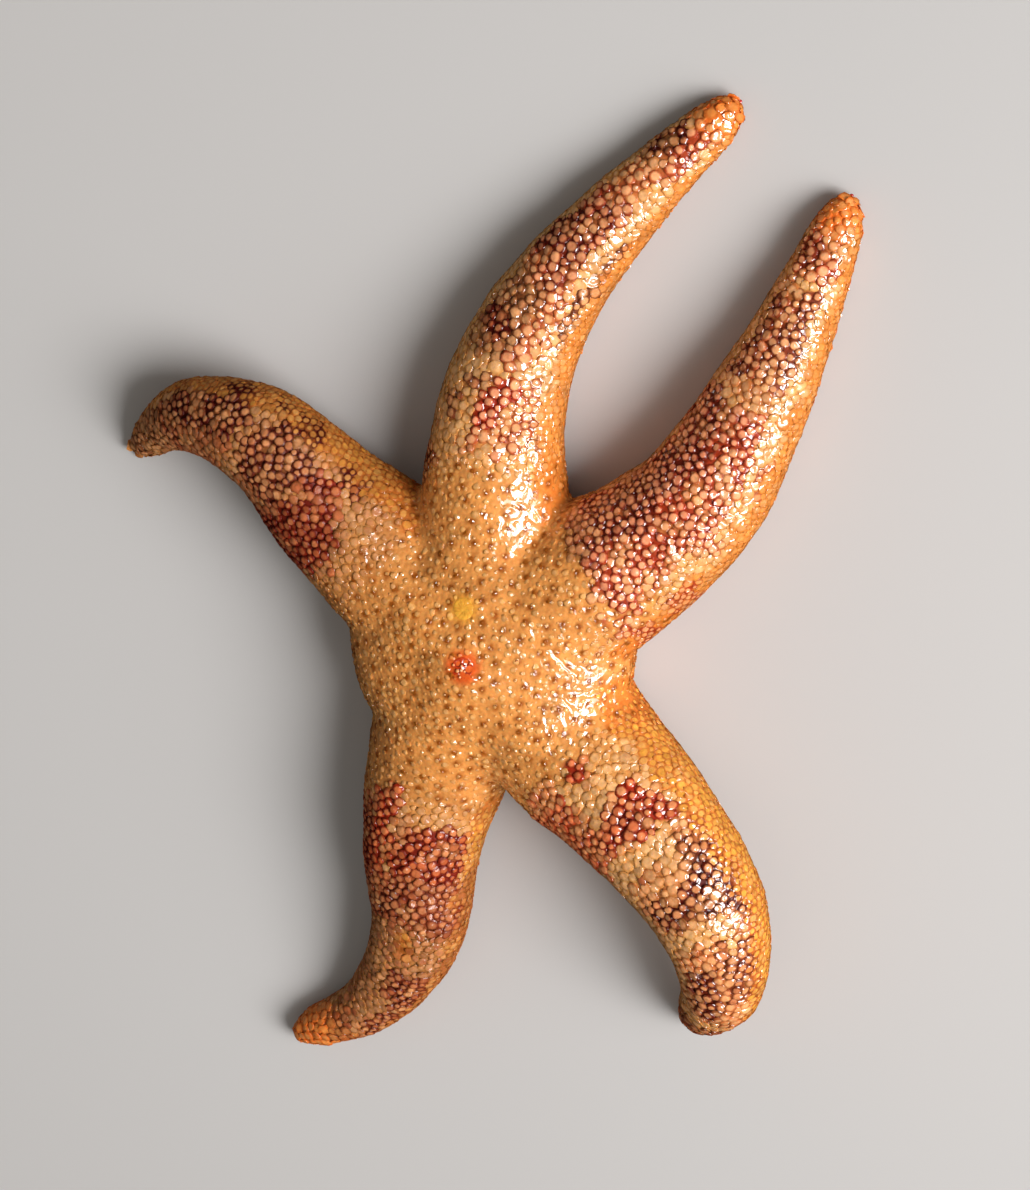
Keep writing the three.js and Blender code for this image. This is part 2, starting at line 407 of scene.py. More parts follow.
# Markings. Each patch: from and to along the arm (shares of its length), from and to round it (in degrees,
# 90 on top), and how strong it is in the gaps between the beads and on their crowns.
markings = {
    "arm_a": {
        "red": [
            (0.33, 0.46, 64, 102, 1, 0.85), (0.34, 0.46, 40, 66, 0.8, 0.4), (0.48, 0.62, 55, 85, 0.8, 0.4),
            (0.60, 0.78, 75, 150, 0.9, 0.6), (0.86, 0.965, 50, 125, 0.9, 0.55),
            (0.29, 0.33, 130, 175, 0.7, 0.4), (0.77, 0.87, 84, 150, 0.75, 0.35),
        ],
        "dark": [
            (0.38, 0.415, 118, 140, 0.9, 0.6), (0.41, 0.44, 108, 126, 0.9, 0.6),
            (0.435, 0.46, 98, 114, 0.9, 0.5), (0.28, 0.32, 138, 172, 0.7, 0.4),
            (0.48, 0.62, 85, 152, 0.8, 0.45), (0.49, 0.545, 106, 152, 1, 0.8),
            (0.53, 0.60, 32, 50, 0.8, 0.5), (0.59, 0.73, 34, 52, 0.9, 0.5), (0.33, 0.40, 35, 46, 0.6, 0.3),
            (0.62, 0.78, 80, 150, 0.5, 0.2), (0.66, 0.72, 92, 112, 1, 0.6), (0.72, 0.76, 80, 122, 1, 0.6),
            (0.64, 0.72, 120, 152, 1, 0.6), (0.822, 0.843, 110, 132, 0.9, 0.6),
            (0.84, 0.92, 108, 155, 1, 0.7),
        ],
        "orange": [(0.2, 1.2, -90, 34, 1, 1)],
    },
    "arm_b": {
        "red": [
            (0.27, 0.64, 58, 165, 0.95, 0.85), (0.64, 0.69, 58, 140, 0.45, 0.25),
            (0.24, 0.275, -30, 60, 0.9, 0.8), (0.32, 0.36, 0, 52, 0.9, 0.7), (0.42, 0.45, 35, 60, 0.8, 0.6),
            (0.50, 0.58, 30, 46, 0.7, 0.5), (0.69, 0.85, 62, 145, 0.8, 0.4),
            (0.86, 0.97, 50, 145, 0.9, 0.55),
        ],
        "dark": [
            (0.26, 0.34, 110, 150, 0.8, 0.5), (0.33, 0.64, 113, 155, 0.8, 0.2),
            (0.69, 0.725, 124, 147, 0.9, 0.6), (0.74, 0.82, 118, 146, 0.9, 0.6),
            (0.70, 0.85, 62, 104, 0.65, 0.15), (0.87, 0.93, 100, 145, 0.6, 0.3),
        ],
        "orange": [(0.2, 1.2, -90, 36, 1, 1)],
    },
    "arm_c": {
        "red": [
            (0.385, 0.53, 98, 210, 1, 1), (0.405, 0.53, 74, 110, 1, 1), (0.435, 0.53, 48, 80, 1, 1),
            (0.43, 0.455, 24, 50, 0.8, 0.6), (0.54, 0.61, 45, 210, 0.5, 0.3),
            (0.63, 0.80, 35, 210, 0.6, 0.4),
        ],
        "dark": [
            (0.535, 0.61, 45, 128, 0.95, 0.25), (0.545, 0.59, 18, 45, 0.7, 0.35),
            (0.63, 0.78, 35, 92, 1, 0.45), (0.63, 0.647, 8, 36, 0.9, 0.5), (0.76, 1, 45, 210, 0.75, 0.5),
            # the patches over the whole arm, from 0.30 and from 0.18 along it, deepen its colour and also
            # paint shade over it
            (0.41, 0.50, 128, 210, 0.5, 0.4), (0.30, 1, -90, 280, 0.28, 0.45),
            (0.385, 0.53, 60, 210, 0.65, 0.75), (0.18, 1, -90, 280, 0.10, 0.20),
            (0.545, 0.567, 0, 52, 1, 0.6), (0.582, 0.604, 0, 52, 1, 0.6), (0.645, 0.667, 0, 50, 1, 0.6),
            (0.43, 0.452, 8, 45, 1, 0.6), (0.475, 0.497, 8, 50, 1, 0.6),
        ],
        "orange": [(0.2, 0.95, -90, 36, 1, 1)],
    },
    "arm_d": {
        "red": [
            (0.32, 0.50, 45, 80, 0.9, 0.85), (0.32, 0.50, -40, 50, 0.9, 0.8), (0.345, 0.385, 97, 113, 1, 1),
            (0.43, 0.515, 75, 136, 1, 0.75), (0.56, 0.64, 45, 150, 0.4, 0.3),
            (0.68, 0.83, 45, 150, 0.6, 0.35), (0.88, 1, -40, 210, 0.6, 0.5), (0.50, 0.92, 128, 162, 0.5, 0),
        ],
        "dark": [
            (0.44, 0.51, 70, 112, 0.6, 0.25), (0.55, 0.577, 68, 86, 0.8, 0.7),
            (0.60, 0.64, 50, 150, 1, 0.4), (0.56, 0.64, 115, 150, 0.9, 0.3),
            (0.68, 0.76, 108, 150, 0.8, 0.4), (0.72, 0.82, 52, 100, 0.95, 0.5),
            (0.86, 0.94, 30, 170, 0.8, 0.5),
        ],
        "orange": [(0.2, 0.97, 146, 280, 1, 1)],
    },
    "arm_e": {
        "red": [
            (0.37, 0.47, 76, 152, 1, 1), (0.32, 0.40, 50, 78, 1, 0.8), (0.36, 0.47, -60, 80, 1, 0.9),
            (0.46, 0.56, -60, 152, 0.8, 0.45), (0.65, 0.73, 85, 114, 0.8, 0.6),
            (0.64, 0.84, 112, 152, 0.7, 0.4), (0.84, 0.93, 60, 170, 0.5, 0.4),
        ],
        "dark": [
            (0.48, 0.55, 50, 112, 0.8, 0.25), (0.36, 0.45, -60, 50, 0.5, 0.4),
            (0.65, 0.73, 84, 114, 0.8, 0.4), (0.66, 0.84, 114, 152, 0.8, 0.3),
            # the patches over the whole arm, from 0.46 and from 0.22 along it, deepen its colour and also
            # paint shade over it
            (0.46, 1, -90, 280, 0.48, 0.7), (0.37, 0.47, 76, 152, 0.5, 0.4),
            (0.22, 1, -90, 280, 0.10, 0.22),
        ],
        "orange": [
            (0.3, 1.2, 150, 280, 0.8, 0.8), (0.575, 0.615, 78, 97, 1, 1), (0.85, 0.96, 55, 140, 0.5, 0.6),
        ],
    },
}
markEdges = {
    "along": 0.022,  # half a patch's soft edge, along and round the arm
    "round": 11,
    "waver": 0.022,  # how far its outline wanders, along and round
    "waverRound": 14,
    "waverSize": 0.9,
    "ragged": 0.55,
    "raggedSize": 0.45,
    "raggedFrom": 0.02,  # strength from which a patch is ragged
    "sharp": (0.25, 0.65),  # strengths between which its edge is drawn in again
    "worn": 0.45,  # how much of it is worn away in places
    "wornSize": 0.7,
    "wornShift": 7,
    "wornFrom": (0.05, 0.38),
    "tipEdge": 0.02,  # half the soft edge of the tip's glow
    "tipRagged": 0.04,
}
# Where the tip's glow begins along each arm: past 1 is none
tipGlow = {"arm_a": 0.945, "arm_b": 0.945, "arm_c": 1.1, "arm_d": 1.1, "arm_e": 0.90}
# Where the red is deeper and the orange more golden
ember = {"arm_a": 0, "arm_b": 0, "arm_c": 1, "arm_d": 0.8, "arm_e": 1}
# The arms that lie furthest from the light are nearly dry and painted in shade, from here to there along
# them
drynessAndShade = {"arm_a": 0, "arm_b": 0, "arm_c": 0.85, "arm_d": 0, "arm_e": 0.7}
drynessAndShadeFrom = (4, 9)
tints = ("red", "dark", "orange", "glow")


def pigmentOf(points, found):
    # how red, how dark and how orange the animal is at each point, and how much of the tip's glow it has,
    # in the gaps and on the crowns
    waver = np.array([noise.noise_vector(Vector(p / markEdges["waverSize"])) for p in points])
    ragged = noiseAt(points, markEdges["raggedSize"]) * markEdges["ragged"]
    worn = noiseAt(points, markEdges["wornSize"], markEdges["wornShift"])
    left = 1 - markEdges["worn"] * smoothStep(*markEdges["wornFrom"], worn)
    share = found["share"] + waver[:, 0] * markEdges["waver"]
    turn = found["turn"] + waver[:, 1] * markEdges["waverRound"]
    edge = markEdges["along"]
    corner = markEdges["round"]
    pigment = {tint: np.zeros((len(points), 2)) for tint in tints}
    for index, (name, marks) in enumerate(markings.items()):
        mine = found["arm"] == index
        for tint, patches in marks.items():
            for start, end, low, high, gap, crown in patches:
                inside = smoothStep(start - edge, start + edge, share)
                inside = inside * (1 - smoothStep(end - edge, end + edge, share))
                inside = inside * smoothStep(low - corner, low + corner, turn)
                inside = inside * (1 - smoothStep(high - corner, high + corner, turn)) * mine
                inside = inside + ragged * (inside > markEdges["raggedFrom"])
                inside = smoothStep(*markEdges["sharp"], inside)
                if tint != "orange":
                    inside = inside * left  # the marks are worn thin here and there
                pigment[tint] = np.maximum(pigment[tint], np.outer(inside, (gap, crown)))
        soft = markEdges["tipEdge"]
        tip = share + ragged * markEdges["tipRagged"]
        glow = smoothStep(tipGlow[name] - soft, tipGlow[name] + soft, tip) * mine
        pigment["glow"] = np.maximum(pigment["glow"], glow[:, None])
    return pigment


def keepNumbers(piece, name, values, kind="FLOAT"):
    layer = piece.data.attributes.new(name, kind, "POINT")
    field = {"FLOAT": "value", "INT": "value", "FLOAT_VECTOR": "vector", "FLOAT_COLOR": "color"}[kind]
    layer.data.foreach_set(field, np.asarray(values, np.int32 if kind == "INT" else np.float32).ravel())


# The vent and the sieve plate on the disc
vent = {
    "radius": 0.47,
    "glow": (0.45, 0.90),  # where its colour on the skin around begins to fade, and ends
    "rise": 0.05,
    "pits": [  # across, up, radius
        (0.03, -0.21, 0.17), (0.23, -0.02, 0.16), (-0.16, 0.16, 0.12), (0.11, 0.21, 0.13),
        (-0.3, -0.06, 0.1), (0.22, -0.27, 0.1), (-0.17, -0.30, 0.09),
    ],
    "pitDepth": 0.09,
    "pitWidth": 0.85,  # in shares of its radius
    "pitShade": (0.15, 0.5),  # the depths at which its painted shade begins, and is full
    "nubs": [
        (-0.15, -0.09, 0.075), (0.0, -0.05, 0.07), (-0.02, 0.09, 0.05), (-0.06, -0.33, 0.05),
        (0.3, 0.2, 0.05), (-0.32, 0.12, 0.05), (0.12, -0.1, 0.045),
    ],
    "nubLift": 0.035,
    "nubStretch": (1, 1, 1.15),
    "nubSides": (14, 10),
}
sievePlate = {
    "radius": 0.47,
    "glow": (0.35, 0.80),
    "rise": 0.03,
    "grooves": 11,
    "grooveDepth": 0.012,
    "grooveWidth": 0.5,
    "grooved": (0.12, 0.3, 0.85, 1),  # from the middle to the rim: they begin, are full, fade and end
    "wander": 2.2,
    "wanderTurns": 4,  # to the millimetre
    "swirl": 3,
}
for settings, node in ((vent, "vent"), (sievePlate, "madreporite")):
    low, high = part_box(node)
    settings["middle"] = np.array((low + high) / 2) / mm - discCentre
topFrom = 3  # what lies higher than this is on the upper side
farOff = 9


def awayFrom(settings, points):
    away = np.hypot(points[:, 0] - settings["middle"][0], points[:, 1] - settings["middle"][1])
    return np.where(points[:, 2] > topFrom, away, farOff)


# Beads: where they grow
beads = {
    "rowPitch": 0.26,  # between rows, along the flank
    "beadPitch": 0.38,  # up a row
    "jitter": (0.10, 0.6),  # on the flanks and on top, in shares of a pitch
    "underTurn": -66,  # where the rows stop under the arm
    "flankTurn": 75,  # from the top, where the rows' pitch is measured
    "startAt": 7.2,  # along the arm, from the middle of the disc
    "startEarly": 0.6,  # the rows are laid out from this far before it
    "stopBefore": 0.1,  # and up to this far before the arm's end
    "samples": (400, 90),  # along the arm and up its side
    "offSkin": 0.28,  # beads that would be further off the skin are left out
    "topFrom": (0.45, 0.85),  # sines of the turns at which the top's look begins, and is full
    "topRows": 0.02,  # beads with more of the top's look than this are settled last
    "markFades": (0.1, 0.5),  # strengths of a mark at which the disc's look begins to give way, and is gone
    "apart": (0.20, 0.285),  # least distance between beads on the flanks and on top
    "fillApart": {"disc": 0.27, "flank": 0.25, "top": 0.295},
    "scale": (1.0, 0.9, 0.9, 1.0, 0.92),  # of the beads of each arm
    "furrowMargin": (0.05, 0.03),  # in half widths, for the rows and for the beads between them
    "furrowTop": 0.75,  # of the widest level
    "mouthBare": (2.1, 1.6),  # radius and height
    "patchClear": (1.05, 1.15),  # of beads and pores from vent and sieve plate, in shares of their radius
    "freeTop": 0.3,  # a bead of a row is free to move where it has more of the top's look
    "push": 0.09,
    "pushRounds": 5,
    "pushReach": (0.50, 0.38),  # on the arms and on the disc
    "neighbours": 6,  # a bead and those whose mean distance is its spacing
    "poreMark": 0.3,  # no pores open where a mark is stronger
    "poresTo": 0.44,  # share of an arm's length
    "cornerApart": (0.50, 0.62),  # between pores on the disc and on the roots of the arms
    "discEnd": 6.3,  # along an arm, where its own coat takes over from that of the disc
    "tipStart": 0.9,  # before the end of the arm, where the tip's coat takes over
}

bodyTree = BVHTree.FromObject(body, bpy.context.evaluated_depsgraph_get())
skinPoints = readPoints(body)
skinNormals = vertexRows(body, "normal")


def surveyed(points):
    found = placesOnArms(points)
    return found, pigmentOf(points, found)


skinFound, skinPigment = surveyed(skinPoints)


def nearestOnSkin(point):
    place, normal, _, apart = bodyTree.find_nearest(Vector((point + discCentre) * mm))
    return np.array(place) / mm - discCentre, np.array(normal), apart / mm


def topness(turn):
    return smoothStep(*beads["topFrom"], np.sin(np.radians(turn)))


def discness(found, pigment):
    # how much of the disc's smooth look a point has: none out on the arms, and little where it is marked
    marked = np.maximum(pigment["red"][:, 0], pigment["dark"][:, 0])
    plain = 1 - smoothStep(*beads["markFades"], marked)
    return (1 - smoothStep(*skin["poresEnd"], found["distance"])) * plain


def scaleOf(found):
    return np.array(beads["scale"])[found["arm"].astype(int)]


def treeOf(places):
    tree = kdtree.KDTree(len(places))
    for index, p in enumerate(places):
        tree.insert(p, index)
    tree.balance()
    return tree


def flankRows(arm, side):
    # rows of beads up one side of an arm to its top, evenly spaced along that flank
    sites = []
    samples, upSamples = beads["samples"]
    start = beads["startAt"] - beads["startEarly"]
    along = np.linspace(start, arm["length"] - beads["stopBefore"], samples)
    flank = skinPoint(arm, along, np.full(len(along), math.radians(90 + side * beads["flankTurn"])))
    gone = lengthsAlong(flank)
    turns = np.radians(90 + side * np.linspace(90 - beads["underTurn"], 0, upSamples))
    for row in range(int(gone[-1] / beads["rowPitch"])):
        distance = np.interp(row * beads["rowPitch"], gone, along)
        step = np.interp((row + 1) * beads["rowPitch"], gone, along) - distance
        up = lengthsAlong(skinPoint(arm, np.full(len(turns), distance), turns))
        count = max(int(round(up[-1] / beads["beadPitch"])), 2)
        for place in range(count):
            at = (place + 0.25 + 0.5 * (row % 2)) / count  # every other row stands half a pitch higher
            top = float(topness(math.degrees(np.interp(at * up[-1], up, turns))))
            jitter = mixed(*beads["jitter"], top)
            at += random.uniform(-jitter, jitter) / count
            moved = distance + random.uniform(-jitter, jitter) * step
            turn = np.interp(at * up[-1], up, turns)
            onSkin, normal, apart = nearestOnSkin(skinPoint(arm, np.array([moved]), np.array([turn]))[0])
            if apart < beads["offSkin"]:
                sites.append((onSkin, normal, top))
    return sites


def thinned(places, apartAt, taken=()):
    # keeps the places, in their order, that stand clear of those kept before them and of the taken ones
    cell = 0.3
    grid = {}
    kept = []

    def cellOf(p):
        return (int(p[0] // cell), int(p[1] // cell), int(p[2] // cell))

    def crowded(p, apart):
        home = cellOf(p)
        reach = range(-int(apart / cell) - 1, int(apart / cell) + 2)
        for dx in reach:
            for dy in reach:
                for dz in reach:
                    for q in grid.get((home[0] + dx, home[1] + dy, home[2] + dz), ()):
                        if (p[0] - q[0]) ** 2 + (p[1] - q[1]) ** 2 + (p[2] - q[2]) ** 2 < apart**2:
                            return True
        return False

    for p in taken:
        grid.setdefault(cellOf(p), []).append(p)
    for index, p in enumerate(places):
        if not crowded(p, apartAt[index]):
            grid.setdefault(cellOf(p), []).append(p)
            kept.append(index)
    return kept


def inFurrow(found, margin):
    low = section["widestLevel"] * found["half"] * section["heightPerHalfWidth"] * beads["furrowTop"]
    return (np.abs(found["across"]) < (skin["furrow"][1] + margin) * found["half"]) & (found["up"] < low)


rowMargin, fillMargin = beads["furrowMargin"]
rowSites = [site for arm in arms.values() for side in (-1, 1) for site in flankRows(arm, side)]
rowSites.sort(key=lambda site: site[2] > beads["topRows"])
rowPlaces = np.array([site[0] for site in rowSites])
rowApart = np.interp([site[2] for site in rowSites], (0, 1), beads["apart"])
rowApart = rowApart * scaleOf(placesOnArms(rowPlaces))
keptRows = thinned(rowPlaces, rowApart)
rowPlaces = rowPlaces[keptRows]
rowNormals = np.array([rowSites[i][1] for i in keptRows])
rowFound = placesOnArms(rowPlaces)
clear = ~inFurrow(rowFound, rowMargin) & (rowFound["distance"] > beads["startAt"])
rowPlaces = rowPlaces[clear]
rowNormals = rowNormals[clear]
print("beads in rows:", len(rowPlaces))

order = list(range(len(skinPoints)))
random.shuffle(order)
order = np.array(order)
bareRadius, bareHeight = beads["mouthBare"]
beadClear, poreClear = beads["patchClear"]
bare = inFurrow(skinFound, fillMargin)
bare |= (np.hypot(skinPoints[:, 0], skinPoints[:, 1]) < bareRadius) & (skinPoints[:, 2] < bareHeight)
for settings in (vent, sievePlate):
    bare |= awayFrom(settings, skinPoints) < settings["radius"] * beadClear
order = order[~bare[order]]
fillApart = mixed(beads["fillApart"]["flank"], beads["fillApart"]["top"], topness(skinFound["turn"]))
skinDisc = discness(skinFound, skinPigment)
fillApart = mixed(fillApart * scaleOf(skinFound), beads["fillApart"]["disc"], skinDisc)
kept = thinned(skinPoints[order], fillApart[order], rowPlaces)
fillPlaces = skinPoints[order][kept]
print("beads between them:", len(fillPlaces))


def relaxed(places, normals, free, reachAt):
    # the free places push each other evenly apart over the skin
    places = places.copy()
    normals = normals.copy()
    for _ in range(beads["pushRounds"]):
        tree = treeOf(places)
        pushed = places.copy()
        for index in free:
            push = np.zeros(3)
            reach = reachAt[index]
            for other, near, apart in tree.find_range(places[index], reach):
                if near != index and apart > 1e-6:
                    push += (places[index] - np.array(other)) / apart * (1 - apart / reach) ** 2
            pushed[index] = places[index] + push * beads["push"]
        for index in free:
            places[index], normals[index], _ = nearestOnSkin(pushed[index])
    return places, normals


allPlaces = np.vstack([rowPlaces, fillPlaces])
allNormals = np.vstack([rowNormals, skinNormals[order][kept]])
allFound, pigment = surveyed(allPlaces)
reachAt = mixed(*beads["pushReach"], discness(allFound, pigment))
isFree = topness(allFound["turn"]) > beads["freeTop"]
free = [i for i in range(len(allPlaces)) if i >= len(rowPlaces) or isFree[i]]
allPlaces, allNormals = relaxed(allPlaces, allNormals, free, reachAt)
allFound, pigment = surveyed(allPlaces)
print("beads in all:", len(allPlaces))

# Pores open in the corners between three beads, on the disc and the roots of the arms
siteTree = treeOf(allPlaces)
around = [siteTree.find_n(p, beads["neighbours"]) for p in allPlaces]
spacing = np.array([np.mean([apart for _, _, apart in near[1:]]) for near in around])
corners = []
for index, near in enumerate(around):
    pale = max(pigment["red"][index, 0], pigment["dark"][index, 0]) < beads["poreMark"]
    if pale and allNormals[index][2] > 0 and allFound["share"][index] < beads["poresTo"]:
        corners.append((allPlaces[index] + np.array(near[1][0]) + np.array(near[2][0])) / 3)
random.shuffle(corners)
corners = np.array(corners)
for settings in (vent, sievePlate):
    corners = corners[awayFrom(settings, corners) > settings["radius"] * poreClear]
cornerFar = smoothStep(*skin["poresEnd"], placesOnArms(corners)["distance"])
corners = corners[thinned(corners, np.interp(cornerFar, (0, 1), beads["cornerApart"]))]
snapped = [nearestOnSkin(corner) for corner in corners]
pores = np.array([site[0] for site in snapped])
poreTree = treeOf(pores)
isPore = np.arange(len(allPlaces) + len(pores)) >= len(allPlaces)
allPlaces = np.vstack([allPlaces, pores])
allNormals = np.vstack([allNormals, [site[1] for site in snapped]])
allFound, pigment = surveyed(allPlaces)
spacing = np.concatenate([spacing, np.full(len(pores), beads["fillApart"]["disc"])])
print("pores:", len(pores))


# The shapes that are copied
pebbleShoulder = 0.7  # under 1 fills out a bead's shoulders
pebbleFoot = 0.12
pebbleTop = (0.6, 0.4)  # the part of its height that is even, and the part that swells
pebbleLumps = (1.3, 7.3)  # how fine its unevenness is, and how far apart in it the shapes are taken


def pebble(name, wideness, lumps, seed, sides=10, fullness=pebbleShoulder):
    # one bead: the cap of a ball with full shoulders and a flat foot, a little uneven
    bead = halfBall(name, sides, sides, pebbleFoot)
    even, swelling = pebbleTop
    fineness, apart = pebbleLumps
    for vertex in bead.data.vertices:
        swell = 1 + lumps * noise.noise(vertex.co * fineness + Vector((seed * apart, 0, 0)))
        out = max(math.hypot(vertex.co.x, vertex.co.y), 1e-6)
        shoulder = out**fullness / out * swell
        vertex.co.x *= shoulder * wideness
        vertex.co.y *= shoulder / wideness
        rise = max(vertex.co.z - pebbleFoot, 0) / (1 - pebbleFoot)
        vertex.co.z = rise**fullness * (even + swelling * swell)
    bpy.ops.object.shade_smooth()
    flat = vertexRows(bead)
    out = np.hypot(flat[:, 0], flat[:, 1])
    return noted(bead, 1 - out / out.max())


def noted(small, crown):
    # keeps each point's place on the small shape for its map, and how near its crown it is for its colours
    flat = vertexRows(small)
    keepNumbers(small, "onBead", flat / max(1, np.abs(flat[:, :2]).max()), "FLOAT_VECTOR")
    keepNumbers(small, "crown", crown)
    return small


def rod(name, sides, rings, outline):
    # a small rod that stands on its foot, with its outline from foot to end
    bpy.ops.mesh.primitive_cylinder_add(vertices=sides, radius=1, depth=1, location=(0, 0, 0.5))
    made = bpy.context.object
    made.name = name
    bpy.ops.object.transform_apply(location=True, rotation=False, scale=False)
    cutRings(made, rings)
    heights, radii = zip(*outline)
    for vertex in made.data.vertices:
        radius = float(np.interp(vertex.co.z, heights, radii))
        vertex.co.x *= radius
        vertex.co.y *= radius
    bpy.ops.object.shade_smooth()
    return noted(made, [vertex.co.z for vertex in made.data.vertices])


def setAside(name, pieces):
    # the shapes that are copied, out of the scene
    group = bpy.data.collections.new(name)
    for piece in pieces:
        for holder in piece.users_collection:
            holder.objects.unlink(piece)
        group.objects.link(piece)
    return group


pebbles = setAside("pebbles", [
    pebble("pebble0", 1.0, 0.3, 1),
    pebble("pebble1", 1.1, 0.55, 2),
    pebble("pebble2", 0.93, 0.6, 3),
    pebble("pebble3", 1.05, 0.45, 4),
    pebble("pebble4", 1.0, 0.3, 5, sides=8, fullness=1.25),  # the low nubs of the disc
    pebble("pebble5", 1.05, 0.5, 6, sides=8, fullness=1.25),
    pebble("pebble6", 1.0, 0.2, 7, sides=8),  # a pore's own little gill
])
nubKinds = (4, 5)
poreKind = 6
patchWidth = 0.003  # of each copy's patch in its piece's map


def added(tree, kind, inputs=(), **settings):
    # a new node: its inputs are given as plain values or as the outputs that feed them
    node = tree.nodes.new(kind)
    for key, value in settings.items():
        setattr(node, key, value)
    for name, value in dict(inputs).items():
        feed(tree, node.inputs[name], value)
    return node


def feed(tree, socket, value):
    if isinstance(value, bpy.types.NodeSocket):
        tree.links.new(value, socket)
    else:
        socket.default_value = value


def growth(group):
    # the nodes that set one of a group's shapes on each point and lay its map out at the root's place
    tree = bpy.data.node_groups.new(group.name + " growth", "GeometryNodeTree")
    for way in ("INPUT", "OUTPUT"):
        tree.interface.new_socket("Geometry", in_out=way, socket_type="NodeSocketGeometry")

    def named(name, kind="FLOAT_VECTOR"):
        node = added(tree, "GeometryNodeInputNamedAttribute", {"Name": name}, data_type=kind)
        return next(s for s in node.outputs if s.enabled and s.name == "Attribute")

    source = added(tree, "NodeGroupInput")
    shapes = added(tree, "GeometryNodeCollectionInfo", {
        "Collection": group,
        "Separate Children": True,
        "Reset Children": True,
    })
    placed = added(tree, "GeometryNodeInstanceOnPoints", {
        "Points": source.outputs[0],
        "Instance": shapes.outputs[0],
        "Pick Instance": True,
        "Instance Index": named("kind", "INT"),
        "Rotation": named("facing"),
        "Scale": named("size"),
    })
    whole = added(tree, "GeometryNodeRealizeInstances", {0: placed.outputs[0]})
    patch = (patchWidth / 2, patchWidth / 2, 0)
    spread = added(tree, "ShaderNodeVectorMath", {0: named("onBead"), 1: patch, 2: named("rootMap")},
                   operation="MULTIPLY_ADD")
    mapped = added(tree, "GeometryNodeStoreNamedAttribute", {"Name": "OFBake", "Geometry": whole.outputs[0]},
                   data_type="FLOAT2", domain="CORNER")
    value = next(s for s in mapped.inputs if s.enabled and s.name == "Value")
    feed(tree, value, spread.outputs[0])
    added(tree, "NodeGroupOutput", {0: mapped.outputs[0]})
    return tree


def facingOf(normal, along):
    # the turn that stands a shape up along the normal with its width across the arm
    z = Vector(normal).normalized()
    y = Vector(along)
    y = (y - z * y.dot(z)).normalized()
    x = y.cross(z)
    return Matrix((x, y, z)).transposed().to_euler()


def grow(name, nodes, sites):
    # one joined piece with a shape at each of the sites
    mesh = bpy.data.meshes.new(name)
    mesh.from_pydata([Vector((p + discCentre) * mm) for p in sites["place"]], [], [])
    piece = bpy.data.objects.new(name, mesh)
    bpy.context.scene.collection.objects.link(piece)
    keepNumbers(piece, "kind", sites["kind"], "INT")
    keepNumbers(piece, "facing", sites["facing"], "FLOAT_VECTOR")
    keepNumbers(piece, "size", sites["size"] * mm, "FLOAT_VECTOR")
    keepNumbers(piece, "rootMap", sites["rootMap"], "FLOAT_VECTOR")
    kinds = dict.fromkeys(("tone", "ember", "wetAndLit"), "FLOAT")
    kinds.update(dict.fromkeys(("gapPigment", "crownPigment", "ground"), "FLOAT_COLOR"))
    for attribute, kind in kinds.items():
        if attribute in sites:
            keepNumbers(piece, attribute, sites[attribute], kind)
    shape(piece, "NODES", node_group=nodes)
    for spent in ("kind", "facing", "size", "rootMap", "onBead"):
        if spent in piece.data.attributes:
            piece.data.attributes.remove(piece.data.attributes[spent])
    points = readPoints(piece)
    points[:, 2] = np.maximum(points[:, 2], 0)  # what would press into the floor lies flat on it
    writePoints(piece, points)
    print("coat:", piece.name, len(piece.data.polygons), "faces")
    return piece


def columns(values, part):
    return np.column_stack([values[tint][:, part] for tint in tints])


# 1 where the flesh is wet and unshaded; less on the far arms, which are drier and darkened with painted
# shade
def wetAndLitOf(found):
    reach = np.array([drynessAndShade[name] for name in arms])[found["arm"].astype(int)]
    return 1 - reach * smoothStep(*drynessAndShadeFrom, found["distance"])


def groundOf(points, found, pigment, pore):
    # how much of the disc's look each point has, how near a pore it is, and the glow of vent and sieve plate
    glows = [1 - smoothStep(*patch["glow"], awayFrom(patch, points)) for patch in (vent, sievePlate)]
    return np.column_stack([discness(found, pigment), pore, *glows])


# The form of each bead, and where it lies in its piece's map
form = {
    "spread": (0.63, 0.61),  # half length across the arm and half width along it, as shares of the spacing
    "flankSpread": (0.72, 0.56),
    "discSpread": (0.33, 0.30),
    "sizeSpread": 0.26,
    "height": 0.080,
    "flankHeight": 0.060,
    "discHeight": 0.028,
    "paleRelief": (0.42, 0.32),  # share of the height left where the animal is pale, and where it is orange
    "usualSpacing": 0.33,  # a bead with more room is higher, within these limits
    "heightLimits": (0.7, 1.15),
    "heightSpread": 0.15,
    "markedShrink": 0.10,  # the beads stand further apart where the animal is marked
    "tilt": 0.10,
    "tiltParts": (0.4, 0.6),  # of that tilt on the flanks, and added on top
    "turns": (0.2, 0.6, 1.5),  # how far beads are turned at random: everywhere, on top and on the disc
    "nubsFrom": 0.6,  # of the disc's look
    "poreSize": (0.12, 0.09, 0.008),
    "poreClear": 0.24,  # a nub nearer than this to a pore is smaller
    "nearPore": (0.5, 0.8),
    "crownTones": (0.55, 1.35),
    "poreShade": 0.95,  # on the skin around a pore, and how far it reaches
    "poreRing": (0.10, 0.23),
}
maps = {
    "middle": 2.3,  # height of the disc's middle
    "discReach": 0.48,
    "armEdge": 0.01,
    "armReach": 0.98,
    "rowStart": 0.1,
    "rowReach": 0.8,
    "sideReach": 0.2,
}
total = len(allPlaces)
armNames = list(arms)
armOf = allFound["arm"].astype(int)
tangents = np.zeros((total, 3))
for index, arm in enumerate(arms.values()):
    mine = armOf == index
    tangents[mine] = between(arm, "along", allFound["distance"][mine])
spin = np.random.default_rng(5)
onDisc = discness(allFound, pigment)
